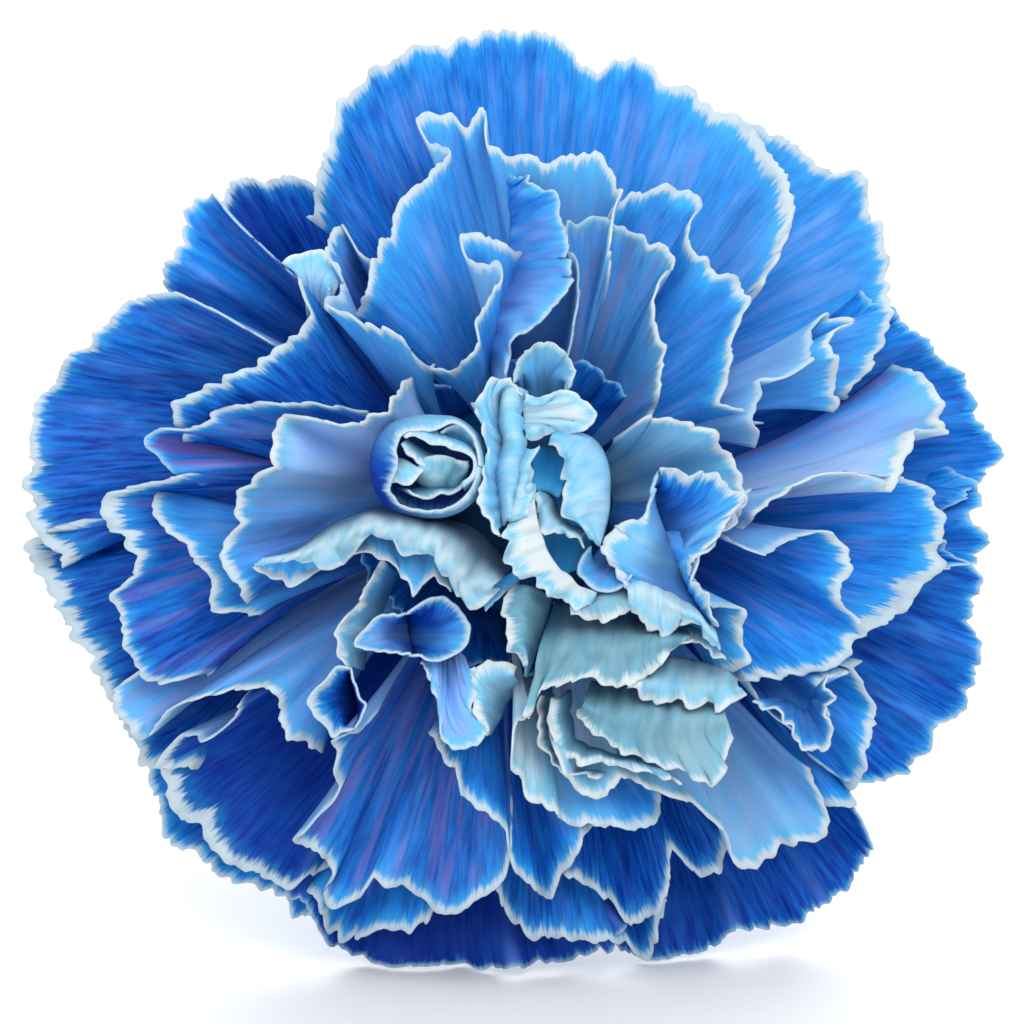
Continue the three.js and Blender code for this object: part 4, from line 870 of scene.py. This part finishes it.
# The bud at the heart, left of the middle. Its youngest petals are still rolled round each other, and it is
# seen from its open end: a sheath, the bands and lobes inside it, and the floor between them, painted dark as
# shade. Painted shade in the navy share also darkens the sheath's left wall.
FIRST_BUD_SEED = 110
BUD = [
    ("bud_sheath", dict(tone=(0.9, 0.9, 0.9, 0.5, 0, 0, 0.4, 0.8, 0.9), navy_and_shade=(0, 0, 1.2, 2.2, 1.8, 0.5),
                        grey_shade=0.3, margin=0.2, reach=4), [
        (8, [(-3.4, 3.4), (-4, 5.8), (-5.9, 6.4), (-8, 6.5), (-9.7, 5.6), (-10.4, 3.2), (-9.5, 0.9),
             (-7, 0.2), (-4.4, 1), (-3.4, 3.4)]),
        (17.6, [(-2.3, 3.2), (-2.4, 4.5), (-2.9, 5.9), (-3.8, 6.8), (-4.9, 7.3), (-6.3, 7.5), (-8, 7.5),
                (-9.6, 7.1), (-10.8, 6.2), (-11.5, 4.8), (-11.7, 3.2), (-11.3, 1.4), (-10.3, 0.1),
                (-8.8, -0.5), (-7, -0.8), (-5.2, -0.6), (-3.7, 0.2), (-2.7, 1.5), (-2.3, 3.2)]),
        (20.6, [(-2.4, 3.2), (-2.5, 4.4), (-2.9, 5.7), (-3.8, 6.7), (-4.9, 7.2), (-6.3, 7.2), (-7.8, 7.2),
                (-9.3, 6.8), (-10.3, 5.9), (-11, 4.7), (-11.1, 3.2), (-10.9, 1.5), (-10, 0.4), (-8.7, -0.3),
                (-7, -0.6), (-5.2, -0.4), (-3.8, 0.3), (-2.8, 1.6), (-2.4, 3.2)]),
        (21.5, [(-2.8, 3.4), (-2.95, 5), (-3.5, 6.2), (-4.3, 6.8), (-5.3, 6.9), (-6.4, 6.4), (-7.6, 6.3),
                (-8.6, 6.3), (-9.4, 5.7), (-9.6, 4.7), (-9.5, 3.4), (-10.2, 1.5), (-9.7, 0.6), (-8.5, -0.1),
                (-7, -0.4), (-5.4, -0.1), (-4.2, 0.6), (-3.2, 1.9), (-2.8, 3.4)]),
    ]),
    ("bud_floor", dict(tone=0.15, navy_and_shade=1.5, margin=0, reach=1), [
        (18, [(-10.2, 5), (-8, 6.8), (-5, 7), (-2.6, 5.4)]),
        (17.6, [(-10.4, 3.2), (-8, 3.4), (-5, 3.6), (-2.5, 3.4)]),
        (18, [(-10.2, 1), (-8, -0.4), (-5, -0.4), (-2.8, 1.4)]),
    ]),
    ("bud_band", dict(tone=(1.1, 1.0, 0.9, 0.8, 0.9), margin=0.3, reach=5), [
        (20.2, [(-9.3, 6), (-8.6, 6.6), (-7.6, 6.9), (-6.8, 6.7), (-6.1, 6.1), (-5.3, 5.7), (-4.4, 5.4),
                (-3.6, 5), (-3, 4.3), (-2.8, 3.3), (-3.1, 2.2), (-4, 1.4)]),
        (21.2, [(-9, 5.8), (-8.3, 6.3), (-7.5, 6.3), (-6.7, 5.8), (-6, 5.6), (-5.3, 5.4), (-4.5, 5.1),
                (-3.7, 4.7), (-3.1, 4), (-2.95, 3.2), (-3.2, 2.4), (-4.1, 1.7)]),
        (21.2, [(-8.9, 5.7), (-8.2, 5.9), (-7.7, 5.7), (-7, 5.3), (-6.4, 5.1), (-5.6, 5), (-5, 4.8),
                (-4.4, 4.6), (-3.8, 4.4), (-3.4, 4.1), (-3.2, 3.6), (-3.3, 3), (-3.6, 2.5), (-4.2, 2)]),
    ]),
    ("bud_teal", dict(tone=0.6, grey_shade=0.6, margin=0.15, reach=3.5), [
        (19, [(-6, 5.8), (-5.2, 5.6), (-4.4, 5.4), (-3.7, 5), (-3.2, 4.4)]),
        (20.9, [(-5.9, 6.2), (-5.2, 6.7), (-4.4, 6.9), (-3.7, 6.5), (-3.2, 5.8), (-2.9, 5)]),
    ]),
    ("bud_left", dict(tone=1.0, grey_shade=(0.1, 0.5), margin=0.3, reach=3), [
        (18.8, [(-8.8, 5.6), (-8, 5.1), (-7.2, 4.6), (-6.4, 4.3)]),
        (20.3, [(-9, 5.5), (-8.4, 4.8), (-7.8, 4.2), (-6.9, 3.8)]),
        (20.9, [(-9.2, 5.3), (-8.9, 4.7), (-8.5, 4.2), (-8, 3.8), (-7.5, 3.4), (-6.9, 3.2)]),
    ]),
    ("bud_mound", dict(tone=1.0, grey_shade=(0.4, 0.5, 0.9, 1.0), margin=0.2, reach=8), [
        (18.6, [(-8.4, 2.6), (-7.6, 1.9), (-6.6, 1.3), (-5.6, 1), (-4.7, 1.2), (-3.9, 2)]),
        (20.2, [(-8.2, 3), (-7.2, 2.5), (-6.2, 2.2, 0.4), (-5.4, 2.1, -0.4), (-4.7, 2.3, 0.3), (-3.8, 2.8)]),
        (20.7, [(-7.8, 3.3), (-7, 3.2, 0.2), (-6.1, 3.1, -0.3), (-5.4, 3.2, 0.3), (-4.7, 3.1, -0.5),
                (-3.6, 3.3)]),
        (20.4, [(-7.4, 4), (-6.7, 4.3), (-6, 4.3), (-5.3, 4.1), (-4.6, 4), (-4, 3.9), (-3.6, 3.8)]),
    ]),
    ("bud_patch", dict(tone=1.2, margin=0.3, reach=3), [
        (19.8, [(-9.9, 3.6), (-9.4, 4), (-8.8, 3.8)]),
        (20.7, [(-10.2, 2.6), (-9.2, 3), (-8, 3.3)]),
        (20.9, [(-10.2, 1.9), (-9.5, 2), (-8.9, 1.7), (-8.3, 1.9), (-7.8, 2.5), (-7.3, 3.1)]),
    ]),
    ("bud_low", dict(tone=0.9, grey_shade=0.7, margin=0.3, reach=2.5), [
        (18.6, [(-9.6, 1.6), (-8.6, 1.4), (-7.4, 1.6), (-6.2, 1.8), (-5.2, 1.6), (-4.2, 2)]),
        (20.6, [(-8.6, 1.4), (-8.2, 0.9), (-7.4, 0.7), (-6.6, 0.75), (-6, 1.1), (-5.2, 1), (-4.4, 1.4),
                (-3.7, 2.2)]),
    ]),
]
for number, (name, dye_and_shade, lines) in enumerate(BUD):
    folded_petal(name, lines, FIRST_BUD_SEED + number, ruffle=0.1, teeth=0.1, **dye_and_shade)

# The bundle of claws in the calyx, and the crowded feet of the petals over it. They are packed so tightly
# that they show as one smooth fleshy body, which grows up from the foot of the calyx.
CALYX_TOP = -9.6
CALYX_LENGTH = 29.0
CALYX_BASE = CALYX_TOP - CALYX_LENGTH
CALYX_RADIUS = 7.2
CALYX_WALL = 0.9
GAP = 0.3
AT_AXIS = 0.2
CLAW_ROWS = 90
CLAW_COLUMNS = 160


def ring_quads(index):
    """Quads between rings of points that each close on themselves, from the points' numbers, ring by ring."""
    low, high = index[:-1], index[1:]
    return np.stack([low, np.roll(low, -1, axis=1), np.roll(high, -1, axis=1), high], -1).reshape(-1, 4)


def turned(name, profile, material, closed=False):
    """A surface round the flower's axis. The profile holds, for each ring, its radii and its heights round
    the axis. A closed profile joins its last ring to its first, and an open one is a skin."""
    rows, _, columns = np.shape(profile)
    angle = np.linspace(0, 2 * math.pi, columns, endpoint=False)
    radius, height = np.moveaxis(np.asarray(profile), 1, 0)
    points = in_world(radius * np.cos(angle), radius * np.sin(angle), height).reshape(-1, 3)
    index = np.arange(rows * columns).reshape(rows, columns)
    if closed:
        index = np.vstack([index, index[:1]])
    places = np.stack([np.tile(angle / (2 * math.pi), rows), np.repeat(np.linspace(0, 1, rows), columns)], -1)
    return mesh_piece(name, points, ring_quads(index), material, [("round", places)])


def axial_rows(pairs, count, columns):
    """Rings of a turned surface from a smooth line through (radius, height) pairs."""
    line, _ = even_line(pairs, count)
    return [(np.full(columns, radius), np.full(columns, height)) for radius, height in line]


claw_radius = CALYX_RADIUS - CALYX_WALL - GAP
claw_foot = CALYX_BASE + 5
claws_profile = [
    (AT_AXIS, claw_foot), (3, claw_foot + 0.1), (claw_radius - 1.1, claw_foot + 5),
    (claw_radius, claw_foot + 12), (claw_radius, CALYX_TOP), (7.4, -2), (8.5, 3), (8, 9), (5.5, 12.6),
    (AT_AXIS, 14),
]
claws_finish, wire, shader = finish("petal_claws", 0.6, Specular_IOR_Level=0.12)
claws = turned("petal_claws", axial_rows(claws_profile, CLAW_ROWS, CLAW_COLUMNS), claws_finish)
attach(claws, "root")
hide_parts("bloom")
FIBRE_GREEN = (0.42, 0.52, 0.30, 1)
SHADED_BLUE = (0.003, 0.045, 0.13, 1)
claw_map, up = wire.place("round")
fibres = claw_map.stretched(60, 1.2).noise(1.0, 3.0)
(up + 0.12 * (fibres - 0.5)).between(0.5, 0.68).mix(FIBRE_GREEN, SHADED_BLUE).into(shader, "Base Color")

# Calyx: the green tube that holds the claws together, a leathery cup with five pointed teeth, fine ribs,
# and a paler foot. It grows out of the top of the stem.
CALYX_TEETH = 5
CALYX_TOOTH = 5.0
TOOTH_ROUNDING = 0.8
CALYX_FOOT = 3.8
CALYX_COLUMNS = 240
TOOTH_ROWS = 16
OUTER_ROWS = 70
INNER_ROWS = 40
RIB_HEIGHT = 0.06
RIBS_TO_A_TOOTH = 8
RIBBED_FROM = 5


def pointed(count, angle):
    """A row of pointed teeth round the axis: 0 between teeth, 1 at their tips."""
    return (1 - np.abs((count * angle / math.pi) % 2 - 1)) ** TOOTH_ROUNDING


angle = np.linspace(0, 2 * math.pi, CALYX_COLUMNS, endpoint=False)
low = CALYX_TOP - CALYX_TOOTH - 1.5
lip = CALYX_TOP - CALYX_TOOTH * (1 - pointed(CALYX_TEETH, angle))
inside = CALYX_RADIUS - CALYX_WALL
outer = [
    (AT_AXIS, CALYX_BASE), (CALYX_FOOT - 1, CALYX_BASE), (CALYX_FOOT, CALYX_BASE + 1),
    (CALYX_RADIUS - 1.6, CALYX_BASE + 5), (CALYX_RADIUS - 0.5, CALYX_BASE + 10),
    (CALYX_RADIUS, CALYX_BASE + 15), (CALYX_RADIUS, low),
]
inner = [
    (inside, low), (inside, CALYX_BASE + 16.7), (inside - 1, CALYX_BASE + 9.6), (3.2, CALYX_BASE + 4.6),
    (AT_AXIS, CALYX_BASE + 4.4),
]
rib = RIB_HEIGHT * np.cos(RIBS_TO_A_TOOTH * CALYX_TEETH * angle)
outside = axial_rows(outer, OUTER_ROWS, CALYX_COLUMNS)
rows = [(radius + rib * (radius > RIBBED_FROM), height) for radius, height in outside]
for share in np.linspace(0, 1, TOOTH_ROWS)[1:]:
    rows.append((CALYX_RADIUS + rib * (1 - share) + 0.2 * share**2, low + (lip - low) * share))
for share in np.linspace(1, 0, TOOTH_ROWS)[:-1]:
    rows.append((inside + 0.5 * share + 0 * lip, low + (lip - low) * share))
rows += axial_rows(inner, INNER_ROWS, CALYX_COLUMNS)
calyx_finish, wire, shader = finish("calyx_green", 0.5)
calyx = turned("calyx", rows, calyx_finish, closed=True)
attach(calyx, "root")
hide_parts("calyx")
CALYX_PALE = (0.34, 0.46, 0.17, 1)
CALYX_GREEN = (0.15, 0.31, 0.085, 1)
CALYX_VEIN = (0.26, 0.42, 0.16, 1)
calyx_map, up = wire.place("round")
veins = calyx_map.stretched(90, 3).noise(1.0, 3.0)
green = (up + 0.06 * (veins - 0.5)).between(0.08, 0.42).mix(CALYX_PALE, CALYX_GREEN)
veins.between(0.4, 0.75).mix(green, CALYX_VEIN).into(shader, "Base Color")
veins.relief(shader, 0.5)

# Epicalyx: two pairs of small scale leaves round the foot of the calyx, pressed against it, with dry pale
# points. The outer pair overlaps the inner one.
BRACTS = 4
BRACT_HEIGHT = 14.3
BRACT_HALF_TURN = 50.0
BRACT_THICKNESS = 0.42
BRACT_ROWS = 50
BRACT_COLUMNS = 41
PAIR_STEP = 0.32
TIP_LIFT = 0.35
BRACT_SEAT = [(0.4, 3.7), (1.3, 4.3), (5, 5.95), (9.5, 7.0), (15.6, 7.6)]  # heights over the foot, radii


def eased(share):
    """A share, cut to 0 to 1, that starts and ends softly."""
    share = np.clip(share, 0, 1)
    return share**2 * (3 - 2 * share)


bract_finish, wire, shader = finish("bract_green", 0.6)
for number in range(BRACTS):
    outer_pair = number % 2
    v = np.linspace(0, 1, BRACT_ROWS)[:, None]
    u = np.linspace(-1, 1, BRACT_COLUMNS)[None]
    # It narrows from a quarter of the way up to its point.
    width = (1 - eased((v - 0.25) / 0.72)) ** 1.3
    half_turn = np.radians(BRACT_HALF_TURN * width + 2 * (1 - v) + 0.5)
    height = 0.8 + (BRACT_HEIGHT + 0.5) * v - 0.4 * u**2 * (1 - v)
    radius = np.interp(height, *np.transpose(BRACT_SEAT)) + PAIR_STEP * outer_pair + TIP_LIFT * v**4
    turn = math.radians(45 + 360 / BRACTS * number) + half_turn * u
    middle = in_world(radius * np.cos(turn), radius * np.sin(turn), CALYX_BASE + height)
    thickness = BRACT_THICKNESS * (1 - 0.7 * np.abs(u) ** 3) * (1 - 0.5 * v)
    points, quads, _ = thick_sheet(middle, thickness)
    bract = mesh_piece(f"bract_{number + 1}", points, quads, bract_finish, [("scale", sheet_places(u, v))])
    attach(bract, "root")
    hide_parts("epicalyx")
BRACT_GREEN = (0.20, 0.34, 0.10, 1)
BRACT_LIGHT = (0.33, 0.46, 0.19, 1)
BRACT_DRY = (0.56, 0.50, 0.30, 1)
bract_map, to_point = wire.place("scale")
grain = bract_map.stretched(14, 2).noise(1.0, 3.0)
green = grain.between(0.35, 0.7).mix(BRACT_GREEN, BRACT_LIGHT)
(to_point + 0.1 * (grain - 0.5)).between(0.72, 0.95).mix(green, BRACT_DRY).into(shader, "Base Color")
grain.relief(shader, 0.4)

# Stem: a smooth waxy stalk that droops from the calyx to the surface, with a swollen node where the leaves
# grow. Its cut end shows the paler pith.
STEM_RADIUS = 2.3
NODE_RADIUS = 3.5
NODE_AT = 0.42
NODE_LENGTH = 0.022
STEM_FLARE = 1.2
FLARE_LENGTH = 0.02
STEM_ROUTE = [(0.3, 61.5, 21.7), (0.9, 82.5, 15.2), (0.9, 103.5, 8.2), (0.2, 119.5, 3.7), (-0.6, 135.5, 2.3)]
STEM_RINGS = 260
STEM_SIDES = 64
CAP_RINGS = np.array([0.02, 0.35, 0.7, 0.9, 0.98])
caps = len(CAP_RINGS)


def between_caps(rings):
    """Rings with the first and the last repeated, for the caps that close the ends."""
    return np.concatenate([np.repeat(rings[:1], caps, 0), rings, np.repeat(rings[-1:], caps, 0)])


behind_face = np.array([0.0, FACE[1], 0.0])
stem_start = in_world(0, 0, CALYX_BASE + 0.6)
line, _ = even_line([stem_start, *(np.array(STEM_ROUTE) + behind_face)], STEM_RINGS)
upwards = unit(np.cross(unit(np.gradient(line, axis=0)), (1.0, 0.0, 0.0)))
stem_middle, upwards = between_caps(line), between_caps(upwards)
s = np.linspace(0, 1, STEM_RINGS)
swelling = (NODE_RADIUS - STEM_RADIUS) * np.exp(-(((s - NODE_AT) / NODE_LENGTH) ** 2))
radius = STEM_RADIUS + swelling + STEM_FLARE * np.exp(-s / FLARE_LENGTH)
radius = np.concatenate([radius[0] * CAP_RINGS, radius, radius[-1] * CAP_RINGS[::-1]])
angle = np.linspace(0, 2 * math.pi, STEM_SIDES, endpoint=False)
spoke = np.cos(angle)[None, :, None] * np.array([1.0, 0, 0]) + np.sin(angle)[None, :, None] * upwards[:, None]
points = (stem_middle[:, None] + radius[:, None, None] * spoke).reshape(-1, 3)
quads = ring_quads(np.arange(len(stem_middle) * STEM_SIDES).reshape(-1, STEM_SIDES))[:, [0, 3, 2, 1]]
along = np.concatenate([np.full(caps, 0.0), s, 1 + 0.05 * (1 - CAP_RINGS[::-1])])
places = np.stack(np.broadcast_arrays(angle[None] / (2 * math.pi), along[:, None]), -1).reshape(-1, 2)
stem_finish, wire, shader = finish("waxy_stem", 0.48)
stem = mesh_piece("stem", points, quads, stem_finish, [("round", places)])
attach(stem, "root")
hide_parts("stem")
STEM_GREEN = (0.115, 0.25, 0.085, 1)
STEM_LIGHT = (0.19, 0.34, 0.13, 1)
STEM_WAX = (0.34, 0.47, 0.36, 1)
NODE_GREEN = (0.36, 0.48, 0.22, 1)
PITH = (0.55, 0.62, 0.40, 1)
stem_map, down_stem = wire.place("round")
fibres = stem_map.stretched(40, 8).noise(1.0, 3.0)
wax = stem_map.stretched(5, 26).noise(1.0, 4.0)
green = fibres.between(0.3, 0.7).mix(STEM_GREEN, STEM_LIGHT)
green = (wax.between(0.42, 0.75) * 0.6).mix(green, STEM_WAX)
at_node = down_stem.between(NODE_AT - 0.035, NODE_AT) * (1 - down_stem.between(NODE_AT, NODE_AT + 0.03))
green = (at_node * 0.6).mix(green, NODE_GREEN)
down_stem.between(1.004, 1.012).mix(green, PITH).into(shader, "Base Color")
fibres.relief(shader, 0.3)

# Leaves: an opposite pair of narrow, grey-green, waxy blades that clasp the node, arch away from it, open
# into a shallow channel and run out into a point, with fine parallel veins.
LEAF_WIDTH = 6.5
LEAF_CHANNEL = 7.0
OPEN_BY = 0.3
KEEL = 0.12
SWAY = 0.25
LEAF_THICKNESS = 0.62
LEAF_ROWS = 150
LEAF_COLUMNS = 41
SHEATH_LENGTH = 5.0
SHEATH_START = 2.4
SHEATH_HALF_TURN = 1.6
LEAF_ROUTES = {
    "leaf_left": [
        (-3.5, 86.5, 13.6), (-5.6, 77.5, 17.8), (-12, 63.5, 24.6), (-21, 52.5, 28.5), (-29.5, 45.5, 27),
        (-33, 41.5, 21.5),
    ],
    "leaf_right": [
        (5.3, 86, 14.2), (7.2, 76.5, 17.4), (13.5, 62.5, 19.5), (22, 53.5, 17.2), (28.5, 48, 10.8),
        (31.5, 45, 4),
    ],
}
node_row = caps + int(NODE_AT * STEM_RINGS)
node_middle = stem_middle[node_row]
up_stem = unit(stem_middle[node_row - 4] - stem_middle[node_row + 4])
leaf_finish, wire, shader = finish("waxy_leaf", 0.55)
for name, route in LEAF_ROUTES.items():
    middle, at = even_line(np.array(route) + behind_face, LEAF_ROWS)
    leaf_length = at[-1]
    s = at[:, None] / leaf_length
    u = np.linspace(-1, 1, LEAF_COLUMNS)[None]
    # The blade: an arc across the route, its hollow side towards the stem, with a keel below.
    along = unit(np.gradient(middle, axis=0))
    to_stem = node_middle - middle[0]
    inward = unit(to_stem - (along @ to_stem)[:, None] * along)
    across = np.cross(along, inward)
    opened = eased(s / OPEN_BY)
    bend = np.linalg.norm(to_stem) * (1 - opened) + LEAF_CHANNEL * opened
    half_width = LEAF_WIDTH / 2 * (1 - s**3) * (1 + 0.2 * (1 - opened)) + 0.2
    turn = u * half_width / bend
    keel = KEEL * np.exp(-((u / 0.12) ** 2))
    sway = SWAY * np.sin(9 * s + 1.5 * u) * s
    sheet = middle[:, None] + (bend * np.sin(turn))[..., None] * across[:, None]
    sheet = sheet + (bend * (1 - np.cos(turn)) - keel + sway)[..., None] * inward[:, None]
    # The sheath: half a ring round the stem, which the blade grows out of.
    from_node = leaf_length * s - SHEATH_START
    ring_radius = STEM_RADIUS + (NODE_RADIUS - STEM_RADIUS) * np.exp(-((from_node / 2.2) ** 2)) + 0.3
    outward = unit(np.cross(np.cross(up_stem, -to_stem), up_stem))
    beside = np.cross(up_stem, -outward)
    round_turn = (u * SHEATH_HALF_TURN)[..., None]
    round_stem = np.cos(round_turn) * outward + np.sin(round_turn) * beside
    ring = node_middle + from_node[..., None] * up_stem + ring_radius[..., None] * round_stem
    sheath = np.exp(-((leaf_length * s / SHEATH_LENGTH) ** 2))[..., None]
    sheet = sheath * ring + (1 - sheath) * sheet
    thickness = (LEAF_THICKNESS - 0.38 * np.abs(u) ** 2) * (1 - 0.4 * s) * (1 - 0.6 * np.exp(-s / 0.01))
    points, quads, _ = thick_sheet(sheet, thickness)
    leaf = mesh_piece(name, points, quads, leaf_finish, [("blade", sheet_places(u, s))])
    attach(leaf, "root")
    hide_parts(name)
LEAF_GREEN = (0.10, 0.22, 0.11, 1)
LEAF_VEIN = (0.17, 0.31, 0.18, 1)
LEAF_WAX = (0.30, 0.43, 0.36, 1)
SHEATH_GREEN = (0.36, 0.46, 0.22, 1)
DRY_TIP = (0.42, 0.34, 0.16, 1)
leaf_map, to_tip = wire.place("blade")
veins = leaf_map.stretched(13, 1.6).noise(1.0, 2.0)
wax = leaf_map.stretched(2, 9).noise(1.0, 4.0)
green = veins.between(0.35, 0.68).mix(LEAF_GREEN, LEAF_VEIN)
green = (wax.between(0.4, 0.75) * 0.7).mix(green, LEAF_WAX)
green = (1 - to_tip.between(0.0, 0.14)).mix(green, SHEATH_GREEN)
(to_tip + 0.03 * (veins - 0.5)).between(0.965, 0.99).mix(green, DRY_TIP).into(shader, "Base Color")
veins.relief(shader, 0.4)

# A plain pale table top under the flower, much larger than the view.
TABLE_SIDE = 4000
corners = np.array([(-1, -1, 0), (1, -1, 0), (1, 1, 0), (-1, 1, 0)], float) * TABLE_SIDE / 2
table_finish, _, _ = finish("pale_table", 0.8, Base_Color=(0.86, 0.86, 0.86, 1))
floor = mesh_piece("table_top", corners, np.array([[0, 1, 2, 3]]), table_finish)

# Camera straight in front of the bloom's face, as far away as the photo's. The frame is 85.3 mm wide there.
FRAME_WIDTH = 85.33
FRAME_DROP = 0.42
camera_data = bpy.data.cameras.new("camera")
camera_data.sensor_width = 36.0
camera_data.lens = camera_data.sensor_width * PHOTO_DISTANCE / FRAME_WIDTH
camera = bpy.data.objects.new("camera", camera_data)
camera.location = (FACE + AXIS * PHOTO_DISTANCE - UPWARDS * FRAME_DROP) * MM
camera.rotation_euler = (math.pi / 2 - TILT, 0, 0)
bpy.context.scene.collection.objects.link(camera)
bpy.context.scene.camera = camera
bpy.context.scene.view_settings.view_transform = "Standard"

# Soft studio light: a large lamp above and to the right of the camera, a weak one low on the left, one over
# the floor behind the flower, and an even white surround.
BLOOM = (0, -0.056, 0.03)
FLOOR_BEHIND = (0, 0.75, 0.03)
for name, power, size, place, target in [
    ("key_light", 4.3, 0.6, (0.17, -0.52, 0.56), BLOOM),
    ("fill_light", 1.8, 0.6, (-0.6, -0.6, 0.25), BLOOM),
    ("floor_light", 14.0, 1.2, (0.0, 0.75, 0.6), FLOOR_BEHIND),
]:
    lamp = bpy.data.lights.new(name, "AREA")
    lamp.energy = power
    lamp.size = size
    lamp_object = bpy.data.objects.new(name, lamp)
    lamp_object.location = place
    lamp_object.rotation_euler = (Vector(target) - Vector(place)).to_track_quat("-Z", "Y").to_euler()
    bpy.context.scene.collection.objects.link(lamp_object)
world = bpy.data.worlds.new("surround")
world.use_nodes = True
world.node_tree.nodes["Background"].inputs["Color"].default_value = (0.95, 0.97, 1.0, 1)
world.node_tree.nodes["Background"].inputs["Strength"].default_value = 0.58
bpy.context.scene.world = world
